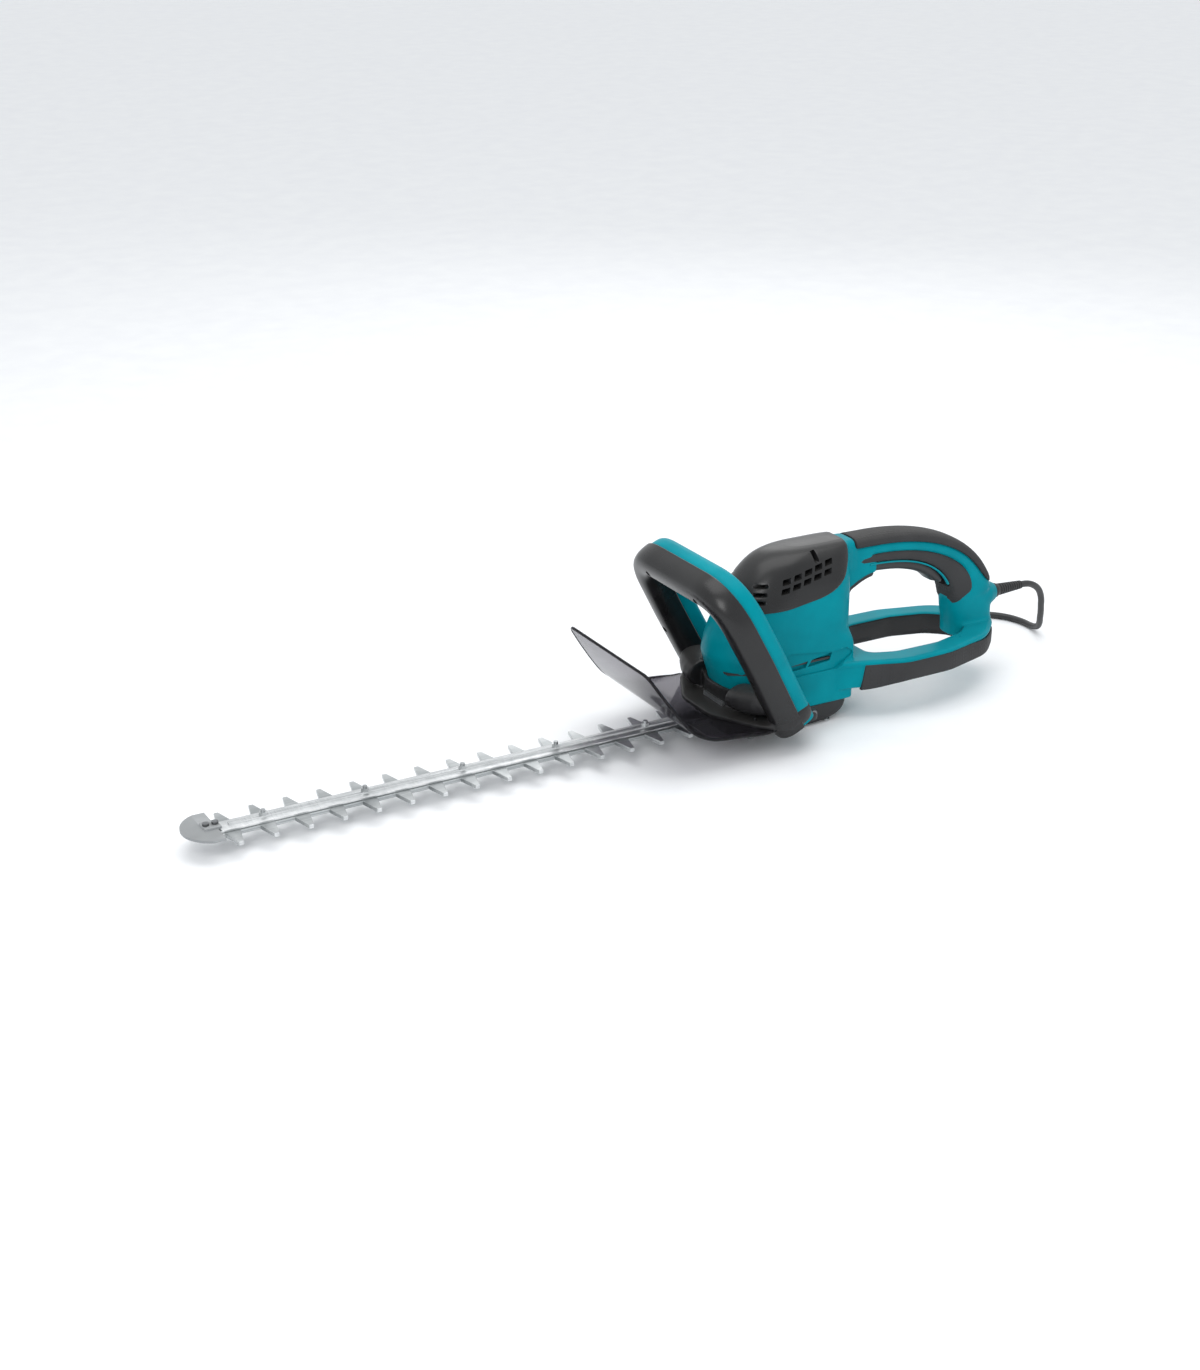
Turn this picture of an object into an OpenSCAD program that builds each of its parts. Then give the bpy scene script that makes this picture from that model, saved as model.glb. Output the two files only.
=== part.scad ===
// Electric hedge trimmer with a double-sided reciprocating blade.
// +X points to the rear, +Z up. The origin is on the sole, under the crank's axis.

/* [Cutting bar] */
// Distance between neighbouring teeth
tooth_pitch = 38; // [32:1:42]
// Teeth on each side of a blade
tooth_count = 15; // [12:1:17]
// Half width over the tooth tips
tooth_reach = 37; // [32:1:42]
// Width of a tooth at its root
tooth_root = 17; // [13:1:20]
// Width of a tooth at its tip
tooth_tip = 5; // [3:0.5:8]
// Half width of a blade's plain body
blade_half = 13; // [11:0.5:16]
// Thickness of each blade
blade_t = 2.2; // [1.8:0.1:3]
// Thickness of the guide bar
bar_t = 2.2; // [1.8:0.1:3]
// Height of the guide bar's raised rib
rib_h = 2.2; // [1:0.1:3]
// Radius of the rounded tip protector
tip_r = 35; // [28:1:42]

/* [Drive] */
// Throw of each eccentric, which is half of a blade's stroke
crank_throw = 8; // [6:0.5:9.6]
// Gear module
gear_module = 1; // [0.9:0.05:1.05]
// Teeth on the crank gear
gear_teeth = 60; // [54:1:62]
// Teeth on the armature's pinion
pinion_teeth = 12; // [12:1:14]
// Radius of the field core
stator_r = 38; // [34:0.5:40]
// Radius of the armature's core
rotor_r = 22; // [18:0.5:24]
// Height of the field core
stator_h = 44; // [36:1:50]

/* [Body] */
// Half width of the motor body
body_half = 46; // [44:1:56]
// Rear face of the motor body, behind the crank
body_rear = 97; // [94:1:116]
// Height of the motor cover's top
body_top = 209; // [206:1:250]
// Wall of the moulded shells
wall = 3; // [2.4:0.1:3.6]
// Height of the sole cover
base_h = 26; // [26:0.5:31]

/* [Rear handle] */
// Half width of the upper grip
grip_half = 19; // [17:0.5:23]
// Rear end of the lower ring, behind the crank
ring_rear = 322; // [318:1:380]
// Half width of the lower ring
ring_half = 75; // [68:1:90]
// Width of the ring's rail
rail_w = 30; // [26:1:32]
// Height of the ring's lower face
ring_low = 45; // [40:1:48]
// Thickness of the ring
ring_t = 27; // [24:1:30]
// Travel of the rear trigger in degrees
trigger_turn = 4; // [3:0.5:4.5]

/* [Front handle] */
// Half width between the legs' centre lines
loop_half = 91; // [82:1:110]
// Length of the loop along its leaning plane
loop_h = 192; // [185:1:230]
// Forward lean in degrees
loop_lean = 28; // [25:0.5:33]
// Half width of the handle's tube
tube_half = 16; // [14.5:0.5:19]
// Travel of the front switch bar
bar_travel = 4.5; // [3:0.5:5]

/* [Guard] */
// Half width of the guard
guard_half = 96; // [90:1:115]
// Height of the guard's raised edge
guard_top = 122; // [110:1:146]
// Thickness of the guard
guard_t = 3; // [2.4:0.2:3.6]

/* [Cord] */
// Diameter of the power cord
cord_d = 8; // [7:0.2:8.6]

/* [Fits] */
// Gap between a shaft and its hole
run_fit = 0.05; // [0.02:0.01:0.09]
// Gap between seated pieces
seat_fit = 0.1; // [0.05:0.05:0.2]
// Gap between sliding flats
slide_gap = 0.2; // [0.15:0.05:0.4]

/* [Hidden] */

// Colours
TEAL = "#00959e";
DARK = "#3a3a3c";
RUBBER = "#4c4c4e";
STEEL = "#b9bcbc";
BRASS = "#c08a3e";
SMOKE = "#6d6872";

// Cutting bar, from the crank forward
last_tooth = -118;
first_tooth = last_tooth - tooth_pitch * (tooth_count - 1);
blade_front = first_tooth - tooth_root / 2 - 3;
bar_front = first_tooth - 29;
bar_rear = -46;
bar_half = blade_half - 2;
blade_low = 17.5;
upper_z = blade_low + blade_t + slide_gap;
bar_z = upper_z + blade_t + slide_gap;
bolt_r = 2.5;
bolt_step = 3;
bolt_teeth = [for (i = [1 : bolt_step : tooth_count - 1]) i];
seat_x = -58;
bolt_x = concat([for (i = bolt_teeth) last_tooth - tooth_pitch * i], [seat_x]);

// Crank and gears
crank_r = 11;
sweep_r = crank_throw + crank_r;
window_r = sweep_r + 0.6;
yoke_half = window_r + 8;
yoke_x = window_r + crank_throw + 8;
gear_z = bar_z + bar_t + 7.4;
gear_w = 7;
axis_gap = gear_module * (gear_teeth + pinion_teeth) / 2;
case_z = gear_z + gear_w + 3;
case_t = 14;
shaft_r = 6;
motor_r = 4;
fan_z = case_z + case_t + 4;
fan_r = stator_r - 3;
baffle_z = fan_z + 19;
stator_z = baffle_z + 17;
comm_z = stator_z + stator_h + 10;
comm_r = 13;
bracket_z = comm_z + 18;

// Body outlines. Each point is [across, up, corner radius].
nose_x = -78;
body_side = [
    [-54, base_h, 0], [body_rear, base_h, 0], [body_rear, body_top - 2, 0],
    [50, body_top, 40], [6, body_top - 5, 30], [-22, body_top - 20, 24],
    [-44, body_top - 40, 14], [-56, 147, 8], [-70, 127, 12], [nose_x + 1, 98, 14], [-63, 60, 14]
];
// Above this height the body narrows towards the grip.
split_z = 96;
body_plan = [
    [nose_x, -24, 16], [-46, -body_half, 26], [body_rear, -body_half, 6],
    [body_rear, body_half, 6], [-46, body_half, 26], [nose_x, 24, 16]
];
body_plan_high = [
    [nose_x, -18, 14], [-50, -38, 24], [-20, -body_half, 20], [body_rear - 27, -body_half, 20],
    [body_rear, -grip_half - 1, 8], [body_rear, grip_half + 1, 8], [body_rear - 27, body_half, 20],
    [-20, body_half, 20], [-50, 38, 24], [nose_x, 18, 14]
];
body_section = [
    [-body_half, -5, 0], [body_half, -5, 0], [body_half, body_top, 44], [-body_half, body_top, 44]
];
seam = [
    [-90, 148], [-20, 149], [25, 152], [48, 156], [70, 165], [82, 176], [89, 190],
    [body_rear - 2, body_top + 6]
];
base_side = [
    [-66, 0, 6], [body_rear - 24, 0, 8], [body_rear, 20, 6], [body_rear, base_h, 0],
    [nose_x, base_h, 0], [nose_x, 13, 5]
];

// Rear handle. The top and the underside of the arch are curves.
arch_top = [[138, body_top - 3], [228, body_top - 4], [300, 176], [318, 112]];
arch_low = [[108, 172], [190, 176], [245, 160], [256, 104]];
band_1 = 14;
band_2 = 25;
ring_high = ring_low + ring_t;
ring_outer = [
    [60, -body_half - 3, 20], [108, -60, 30], [146, -ring_half, 40], [214, -ring_half, 50],
    [288, -58, 50], [ring_rear, -22, 30], [ring_rear, 22, 30], [288, 58, 50],
    [214, ring_half, 50], [146, ring_half, 40], [108, 60, 30], [60, body_half + 3, 20]
];
inner_half = ring_half - rail_w;
ring_inner = [
    [124, -34, 14], [156, -inner_half, 24], [214, -inner_half, 30], [256, -34, 24],
    [280, -14, 20], [280, 14, 20], [256, 34, 24], [214, inner_half, 30],
    [156, inner_half, 24], [124, 34, 14]
];
skin = 4;
trigger_at = [119, 168];
trigger_half = 15.5;
switch_box = [[166, 174.4], [198, 185.4]];

// Front handle
loop_foot = [-18, 28];
foot_z = 48;
leg_n = [-20, 8, 26];
loop_path = [
    [-loop_half + 2, 0, 0], [-loop_half - 2, loop_h * 0.55, 60],
    [-loop_half + 2, loop_h, 50], [loop_half - 2, loop_h, 50],
    [loop_half + 2, loop_h * 0.55, 60], [loop_half - 2, 0, 0]
];
pocket_n = [-10, 4];
pocket_half = 33;
pocket_top = loop_h - 4;
bar_low = loop_h - tube_half - 4.5;

// Guard
guard_z = 31;
guard_side = [
    [-18, guard_z], [-100, guard_z], [-122, guard_z + 4], [-140, guard_z + 12],
    [-155, guard_z + 24], [-168, guard_z + 40], [-182, guard_z + 59], [-204, guard_top]
];
rim_h = 16;

// Cord and sleeve
sleeve_z = 98;
boss_x = 331;
sleeve_x = 300;
sleeve_end = 374;
cord_route = [
    [302, 0, 98], [320, 0, 98], [340, 0, 98], [360, 0, 98], [374, 0, 98], [386, 1, 96.5],
    [397, 3, 92], [407, 6, 85], [415, 10, 76], [421, 14, 66], [426, 19, 55], [431, 24, 44],
    [436, 30, 33], [442, 37, 23], [448, 46, 14], [453, 57, 8], [456, 70, 4.6], [456, 84, 4.3],
    [453, 98, 4.3], [447, 111, 4.3], [438, 122, 4.3], [427, 131, 4.3], [414, 137, 4.3],
    [400, 140, 4.3], [386, 141, 4.3]
];
plug_x = 386;
plug_y = 141;
plug_z = 12;

// ---- helpers ----
function unit(v) = v / norm(v);
function left(v) = [-v[1], v[0]];
function xy(p) = [p[0], p[1]];

// Moves every side of a counter-clockwise outline inwards by d.
function inset(p, d) = [
    for (i = [0 : len(p) - 1])
        let (a = xy(p[(i + len(p) - 1) % len(p)]), v = xy(p[i]), b = xy(p[(i + 1) % len(p)]),
             m = left(unit(v - a)), k = left(unit(b - v)), c = v + d * (m + k) / (1 + m * k))
        [c[0], c[1], p[i][2] == 0 ? 0 : max(p[i][2] - d, 1)]
];

// One rounded corner as a short curve.
function corner(a, v, b, r) =
    let (u = unit(a - v), w = unit(b - v), half = acos(max(-1, min(1, u * w))) / 2,
         t = min(r / tan(half), 0.48 * norm(a - v), 0.48 * norm(b - v)), n = 6)
    r == 0 ? [v] : [
        for (k = [0 : n])
            let (s = k / n)
            (1 - s) * (1 - s) * (v + u * t) + 2 * s * (1 - s) * v + s * s * (v + w * t)
    ];

function rounded(p) = [
    for (i = [0 : len(p) - 1])
        each corner(xy(p[(i + len(p) - 1) % len(p)]), xy(p[i]), xy(p[(i + 1) % len(p)]), p[i][2])
];

// An open line with rounded inner corners.
function rounded_line(p) = [
    for (i = [0 : len(p) - 1])
        each (i == 0 || i == len(p) - 1)
            ? [xy(p[i])] : corner(xy(p[i - 1]), xy(p[i]), xy(p[i + 1]), p[i][2])
];

function bez(c, t) = pow(1 - t, 3) * c[0] + 3 * pow(1 - t, 2) * t * c[1]
    + 3 * (1 - t) * t * t * c[2] + pow(t, 3) * c[3];
function bez_dir(c, t) = unit(pow(1 - t, 2) * (c[1] - c[0])
    + 2 * (1 - t) * t * (c[2] - c[1]) + t * t * (c[3] - c[2]));
// A stretch of a curve, moved to its right by d.
function run(c, d, t0, t1, n = 14) = [
    for (k = [0 : n])
        let (t = t0 + (t1 - t0) * k / n)
        bez(c, t) - d * left(bez_dir(c, t))
];
function reversed(p) = [for (i = [len(p) - 1 : -1 : 0]) p[i]];
// A circle's stretch
function arc(r, a0, a1, n) = [for (k = [0 : n]) r * [cos(a0 + (a1 - a0) * k / n), sin(a0 + (a1 - a0) * k / n)]];

module side_slab(p, y0, y1) {
    translate([0, y1, 0]) rotate([90, 0, 0]) linear_extrude(y1 - y0) polygon(p);
}

module plan_slab(p, z0, z1) {
    translate([0, 0, z0]) linear_extrude(z1 - z0) polygon(p);
}

module front_slab(p, x0, x1) {
    translate([x0, 0, 0]) rotate([90, 0, 90]) linear_extrude(x1 - x0) polygon(p);
}

module block(lo, hi) {
    translate(lo) cube(hi - lo);
}

module rod(x, y, z, r, h) {
    translate([x, y, z]) cylinder(r = r, h = h, $fn = 48);
}

module y_rod(x, y, z, r, h) {
    translate([x, y, z]) rotate([-90, 0, 0]) cylinder(r = r, h = h, $fn = 32);
}

module x_rod(x, y, z, r, h) {
    translate([x, y, z]) rotate([0, 90, 0]) cylinder(r = r, h = h, $fn = 48);
}

// A closed tube from a list of rings with equal counts.
module tube(rings) {
    n = len(rings[0]);
    m = len(rings);
    pts = [for (r = rings) each r];
    walls = [
        for (i = [0 : m - 2], j = [0 : n - 1])
            each [[i * n + j, i * n + (j + 1) % n, (i + 1) * n + (j + 1) % n],
                  [i * n + j, (i + 1) * n + (j + 1) % n, (i + 1) * n + j]]
    ];
    caps = [[for (j = [n - 1 : -1 : 0]) j], [for (j = [0 : n - 1]) (m - 1) * n + j]];
    polyhedron(pts, concat(walls, caps));
}

// A coil spring along +Z from the origin.
module coil(r, wire, h, turns) {
    n = 10;
    tube([
        for (k = [0 : turns * n])
            let (a = 360 * k / n, z = wire + (h - 2 * wire) * k / (turns * n))
            [for (j = [0 : 5]) let (b = 60 * j)
                [(r + wire * cos(b)) * cos(a), (r + wire * cos(b)) * sin(a), z + wire * sin(b)]]
    ]);
}

// Involute gear outline. shift thickens or thins the teeth.
function inv(a) = tan(a) * 180 / PI - a;
function flank(rb, r) = r <= rb ? 0 : inv(acos(rb / r));
function gear_outline(z, add, ded, thin, steps = 4) =
    let (rp = gear_module * z / 2, rb = rp * cos(20), ra = rp + add * gear_module,
         rf = rp - ded * gear_module, r0 = max(rb, rf + 0.05),
         half = 90 / z - thin / rp * 90 / PI + inv(20))
    [
        for (i = [0 : z - 1])
            let (c = 360 * i / z)
            each concat(
                [rf * [cos(c - half - 0.2), sin(c - half - 0.2)]],
                [for (k = [0 : steps]) let (r = r0 + (ra - r0) * k / steps, a = c - half + flank(rb, r))
                    r * [cos(a), sin(a)]],
                [for (k = [steps : -1 : 0]) let (r = r0 + (ra - r0) * k / steps, a = c + half - flank(rb, r))
                    r * [cos(a), sin(a)]],
                [rf * [cos(c + half + 0.2), sin(c + half + 0.2)]])
    ];

// ---- body shells ----
module body_form(d) {
    intersection() {
        side_slab(rounded(inset(body_side, d)), -body_half - 5, body_half + 5);
        union() {
            plan_slab(rounded(inset(body_plan, d)), -5, split_z - d);
            plan_slab(rounded(inset(body_plan_high, d)), -5, body_top + 5);
        }
        front_slab(rounded(inset(body_section, d)), nose_x - 5, body_rear + 5);
    }
}

module body_shell() {
    difference() {
        body_form(0);
        body_form(wall);
        plan_slab(rounded(inset(body_plan, wall)), base_h - 1, 60);
    }
}

function above_seam(gap) = concat(
    [for (p = seam) p + [0, gap]], [[body_rear - 2, body_top + 20], [-90, body_top + 20]]
);

module arch_core() {
    difference() {
        side_slab(concat(
            [[body_rear - wall, body_top - 2], [111.9, body_top - 2.2], [111.9, body_top - 3 - band_1]],
            run(arch_top, band_1, 0, 0.93), run(arch_top, 0.2, 0.94, 1, 3), [[ring_rear - 8, ring_high - 1.9], [282, ring_high - 1.9]],
            reversed(run(arch_low, 0, 0.93, 1, 2)), reversed(run(arch_top, band_2, 0, 0.93)),
            [[body_rear - wall, 185]]
        ), -grip_half, grip_half);
        lead_channel(3.4, 3);
        block([switch_box[0][0] - seat_fit, -9.1, 170], [switch_box[1][0] + seat_fit, 9.1, switch_box[1][1] + seat_fit]);
        block([286, -12, 84], [sleeve_x + 20, 12, 112]);
        x_rod(sleeve_x, 0, sleeve_z, 6.6 + seat_fit, 40);
    }
    difference() {
        x_rod(306, 0, sleeve_z, 13, boss_x - 306);
        x_rod(sleeve_x, 0, sleeve_z, 6.6 + seat_fit, 40);
        block([286, -12, 84], [sleeve_x + 20, 12, 112]);
    }
}

module lead_channel(half_y, half_t) {
    side_slab(concat(run(arch_top, 19.5 - half_t, 0, 0.98), reversed(run(arch_top, 19.5 + half_t, 0, 0.98))),
        -half_y, half_y);
    side_slab([[80, 186], [144, 186], [144, 190], [80, 190]] + (half_t < 3 ? 1 : 0) * [
        [4, 1], [0, 1], [0, -1], [4, -1]], -half_y, half_y);
}

module ring_form(z0, z1, d_out, d_in) {
    difference() {
        plan_slab(rounded(inset(ring_outer, d_out)), z0, z1);
        plan_slab(rounded(inset(ring_inner, -d_in)), z0 - 1, z1 + 1);
    }
}

module ring_core() {
    difference() {
        union() {
            ring_form(ring_low, ring_high - 11, skin, skin);
            ring_form(ring_high - 11, ring_high - 2, 0, skin);
            ring_form(ring_high - 2, ring_high, 0, 0);
        }
        body_form(wall / 2);
        block([0, -100, 0], [body_rear - wall / 2, 100, ring_high + 1]);
    }
}

// Place along the body, height, and where the head seats across it
screw_at = [[-42, 67, 38], [-44, 116, 32], [86, 66, 41], [104, 199, 14], [300, 80, 14]];
screw_r = 2;

module screw_bosses() {
    for (p = [for (i = [0 : 2]) screw_at[i]])
        difference() {
            intersection() {
                y_rod(p[0], -body_half, p[1], 6, 2 * body_half);
                body_form(wall / 2);
            }
            y_rod(p[0], -body_half, p[1], screw_r + 0.02, 2 * body_half);
        }
}

module stator_ribs() {
    for (z = [stator_z + 4, stator_z + stator_h - 10])
        difference() {
            intersection() {
                body_form(wall / 2);
                block([nose_x, -body_half, z], [body_rear, body_half, z + 3]);
            }
            rod(axis_gap, 0, z - 1, stator_r + 0.02, 5);
            block([nose_x, -24, z - 1], [axis_gap, 24, z + 4]);
            block([axis_gap, -24, z - 1], [body_rear - wall, 24, z + 4]);
        }
}

lower_slots = [for (i = [0 : 3]) [8 + 14 * i, 76]];

module side_slots(y) {
    for (p = lower_slots)
        side_slab([[p[0], p[1] - 4], [p[0] + 9, p[1] - 2], [p[0] + 11, p[1] + 3], [p[0] + 2, p[1] + 1]], y - 6, y + 6);
}

module housing() {
    difference() {
        union() {
            difference() {
                union() {
                    body_shell();
                    stator_ribs();
                }
                side_slab(above_seam(0), -body_half - 5, body_half + 5);
            }
            arch_core();
            ring_core();
            screw_bosses();
        }
        for (p = screw_at) {
            y_rod(p[0], -100, p[1], screw_r + 0.02, 200);
            y_rod(p[0], p[2], p[1], 4.2, 60);
        }
        for (p = base_screw_at)
            rod(p[0], p[1], base_h - 1, 2.02, 11);
        side_slots(body_half);
        side_slots(-body_half);
        for (x = side_screw_x)
            y_rod(x, -120, side_screw_z, 2.02, 240);
        // passage for the leads from the grip into the body
        block([body_rear - wall - 1, -3.4, 186], [body_rear + 1, 3.4, 190]);
    }
}

base_screw_at = [[-40, -39], [-40, 39], [64, -39], [64, 39]];

module base_bosses() {
    for (p = base_screw_at)
        difference() {
            intersection() {
                rod(p[0], p[1], base_h, 5.5, case_z - base_h - 0.1);
                body_form(0.5);
            }
            rod(p[0], p[1], base_h - 1, 2.02, 11);
        }
}

module housing_left() {
    color(TEAL)
    intersection() {
        union() {
            housing();
            base_bosses();
        }
        block([-200, -200, -50], [500, 0, 300]);
    }
}

module housing_right() {
    color(TEAL)
    intersection() {
        union() {
            housing();
            base_bosses();
        }
        block([-200, 0, -50], [500, 200, 300]);
    }
}

module vents(y) {
    for (i = [0 : 4], j = [0, 1])
        let (x = -2 + 14 * i, z = 171 + 3.6 * i + 10 * j)
        side_slab([[x, z], [x + 8, z + 2], [x + 10, z + 8], [x + 2, z + 6]], y - 14, y + 14);
    for (j = [0 : 2])
        side_slab([[-36 + 3 * j, 160 + 7 * j], [-22 + 3 * j, 160 + 7 * j], [-21 + 3 * j, 163.5 + 7 * j],
            [-35 + 3 * j, 163.5 + 7 * j]], y - 14, y + 14);
}

module motor_cover() {
    color(DARK)
    difference() {
        intersection() {
            body_shell();
            side_slab(above_seam(0), -body_half - 5, body_half + 5);
        }
        vents(body_half);
        vents(-body_half);
        for (p = screw_at)
            y_rod(p[0], -100, p[1], 6.2, 200);
    }
}

module base_cover() {
    color(DARK)
    difference() {
        union() {
            difference() {
                intersection() {
                    side_slab(rounded(base_side), -body_half - 5, body_half + 5);
                    plan_slab(rounded(body_plan), -1, base_h);
                }
                intersection() {
                    side_slab(rounded(inset(base_side, wall)), -body_half, body_half);
                    plan_slab(rounded(inset(body_plan, wall)), -1, base_h + 5);
                }
                plan_slab(rounded(inset(body_plan, wall)), base_h - wall - 1, base_h + 1);
            }
            rod(0, 0, wall - 1, 13, 11);
            for (p = base_screw_at)
                rod(p[0], p[1], wall - 1, 5.6, base_h - wall + 1);
        }
        rod(0, 0, 5, 9.5 + 0.02, 20);
        for (p = base_screw_at) {
            rod(p[0], p[1], -1, 2.3, 40);
            rod(p[0], p[1], -1, 4.2, 4);
        }
        // mouth for the blades and the guide bar
        block([nose_x - 2, -blade_half - 2, blade_low - 1.4], [-60, blade_half + 2, base_h + 1]);
    }
}

module base_screws() {
    color(STEEL)
    for (p = base_screw_at) {
        rod(p[0], p[1], 0.6, 4, 2.4);
        rod(p[0], p[1], 3, 2, base_h + 5 - 3);
    }
}

module housing_screws() {
    color(STEEL)
    for (p = screw_at)
        union() {
            y_rod(p[0], p[2], p[1], 4, 2.4);
            y_rod(p[0], 6 - p[2], p[1], screw_r, 2 * p[2] - 6);
        }
}

// ---- gear case and bearings ----
module gear_case() {
    color(STEEL)
    difference() {
        union() {
            intersection() {
                plan_slab(rounded(inset(body_plan, wall + seat_fit)), case_z, case_z + 4);
                body_form(wall + seat_fit);
            }
            rod(0, 0, case_z, 18, case_t);
            rod(axis_gap, 0, case_z, 15, case_t);
            rod(0, 0, base_h + seat_fit, gear_out + 4, case_z - base_h);
            rod(axis_gap, 0, base_h + seat_fit, pinion_out + 6, case_z - base_h);
            block([seat_x - 9, -20, bar_z + bar_t], [-gear_out + 2, 20, case_z + 1]);
        }
        rod(0, 0, base_h - 5, gear_out + 0.8, case_z - 1 - base_h + 5);
        rod(axis_gap, 0, base_h - 5, pinion_out + 1, case_z + 3 - base_h + 5);
        rod(0, 0, case_z - 2, 10, 30);
        rod(0, 0, case_z + 2, 14.02, 30);
        rod(axis_gap, 0, case_z + 4, 11.02, 30);
        rod(axis_gap, 0, case_z, motor_r + 1, 10);
        rod(seat_x, 0, bar_z, bolt_r + 0.02, 12);
    }
}

gear_out = gear_module * (gear_teeth / 2 + 0.75);
pinion_out = gear_module * (pinion_teeth / 2 + 1.05);

module bearing(x, z, r_in, r_out, h) {
    difference() {
        rod(x, 0, z, r_out, h);
        rod(x, 0, z - 1, r_in, h + 2);
    }
}

module crank_bearings() {
    color(STEEL) {
        bearing(0, 5, crank_stub + run_fit, 9.5, 7);
        bearing(0, case_z + 2, shaft_r + run_fit, 14, 9);
    }
}

module armature_bearings() {
    color(STEEL) {
        bearing(axis_gap, case_z + 4, motor_r + run_fit, 11, 8);
        bearing(axis_gap, bracket_z + 2, motor_r + run_fit, 9.5, 7);
    }
}

crank_stub = 4;

module crank_shaft() {
    color(STEEL) {
        rod(0, 0, 6, crank_stub, blade_low - 6);
        rod(0, -crank_throw, blade_low - 0.3, crank_r, blade_t + 0.4);
        rod(0, crank_throw, blade_low + blade_t + 0.1, crank_r, blade_t + 0.3);
        rod(0, 0, blade_low + blade_t * 2 + 0.3, shaft_r, case_z + 10 - blade_low - blade_t * 2);
    }
}

module crank_gear() {
    color("#8d8f92")
    difference() {
        union() {
            plan_slab(gear_outline(gear_teeth, 0.75, 1.2, 0.1), gear_z, gear_z + gear_w);
            rod(0, 0, gear_z - 3, 9.5, gear_w + 4.5);
        }
        rod(0, 0, gear_z - 5, shaft_r + 0.02, 30);
        for (a = [30 : 60 : 330])
            rotate([0, 0, a]) rod(18, 0, gear_z - 1, 5, gear_w + 2);
    }
}

module armature_shaft() {
    color(STEEL)
    rod(axis_gap, 0, gear_z - 3, motor_r, bracket_z + 8 - gear_z + 3);
}

module pinion() {
    color("#8d8f92")
    difference() {
        translate([axis_gap, 0, gear_z - 1])
            linear_extrude(gear_w + 2)
            rotate(180 + 180 / pinion_teeth)
            polygon(gear_outline(pinion_teeth, 1.05, 1.05, 0.05));
        rod(axis_gap, 0, gear_z - 3, motor_r + 0.02, 20);
    }
}

module armature_core() {
    color("#77797c")
    difference() {
        rod(axis_gap, 0, stator_z, rotor_r, stator_h);
        rod(axis_gap, 0, stator_z - 1, motor_r + 0.02, stator_h + 2);
        for (a = [0 : 30 : 330])
            translate([axis_gap, 0, 0]) rotate([0, 0, a])
                block([rotor_r - 7, -1.6, stator_z - 1], [rotor_r + 1, 1.6, stator_z + stator_h + 1]);
    }
}

module armature_windings() {
    color(BRASS)
    for (z = [stator_z - 9, stator_z + stator_h])
        difference() {
            rod(axis_gap, 0, z, rotor_r - 2, z < stator_z ? 9 : 7);
            rod(axis_gap, 0, z - 1, motor_r + 0.02, 12);
        }
}

module commutator() {
    color(BRASS)
    difference() {
        rod(axis_gap, 0, comm_z - 2, comm_r, 17);
        rod(axis_gap, 0, comm_z - 3, motor_r + 0.02, 20);
        for (a = [0 : 15 : 345])
            translate([axis_gap, 0, 0]) rotate([0, 0, a])
                block([comm_r - 1, -0.3, comm_z], [comm_r + 1, 0.3, comm_z + 16]);
    }
}

module fan() {
    color("#2e2e30")
    difference() {
        union() {
            rod(axis_gap, 0, fan_z, fan_r, 2);
            rod(axis_gap, 0, fan_z, 9, 15);
            for (a = [0 : 24 : 336])
                translate([axis_gap, 0, 0]) rotate([0, 0, a])
                    block([8, -0.9, fan_z + 1], [fan_r - 1, 0.9, fan_z + 15]);
        }
        rod(axis_gap, 0, fan_z - 1, motor_r + 0.02, 20);
    }
}

module fan_baffle() {
    color("#2e2e30")
    difference() {
        intersection() {
            body_form(wall + seat_fit);
            block([nose_x, -body_half, baffle_z], [body_rear, body_half, baffle_z + 2.5]);
        }
        rod(axis_gap, 0, baffle_z - 1, rotor_r + 4, 5);
    }
}

module capacitor() {
    color("#c8b23c")
    block([-44, -9, baffle_z + 2.5], [-16, 9, baffle_z + 17]);
}

module motor_bracket() {
    color(DARK)
    difference() {
        union() {
            block([axis_gap - 26, -34, bracket_z], [axis_gap + 26, 34, bracket_z + 4]);
            rod(axis_gap, 0, bracket_z, 13, 13);
            for (x = [-20, 20], y = [-27, 27])
                rod(axis_gap + x, y, stator_z + stator_h, 4, bracket_z - stator_z - stator_h + 1);
        }
        rod(axis_gap, 0, bracket_z - 1, 9.52, 10);
    }
}

module field_core() {
    color("#77797c")
    difference() {
        rod(axis_gap, 0, stator_z, stator_r, stator_h);
        rod(axis_gap, 0, stator_z - 1, rotor_r + 0.6, stator_h + 2);
        coil_sector(0.1, stator_z - 1, stator_z + stator_h + 1);
    }
}

coil_r = [rotor_r + 4, stator_r - 5];

// Room for the two field coils, one each side of the armature along X
module coil_sector(grow, z0, z1) {
    for (s = [0, 180])
        translate([axis_gap, 0, 0]) rotate([0, 0, s])
            plan_slab(concat(arc(coil_r[0] - grow, -38 - grow, 38 + grow, 16),
                reversed(arc(coil_r[1] + grow, -38 - grow, 38 + grow, 16))), z0, z1);
}

module field_coils() {
    color(BRASS)
    coil_sector(0, stator_z - 6, stator_z + stator_h + 6);
}

module brush_holders() {
    color(BRASS)
    for (s = [-1, 1])
        difference() {
            block([axis_gap - 6, s > 0 ? comm_r + 2.5 : -36, comm_z + 1],
                [axis_gap + 6, s > 0 ? 36 : -comm_r - 2.5, bracket_z]);
            block([axis_gap - 4, s > 0 ? comm_r + 1 : -34, comm_z + 3],
                [axis_gap + 4, s > 0 ? 34 : -comm_r - 1, comm_z + 12]);
        }
}

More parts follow.
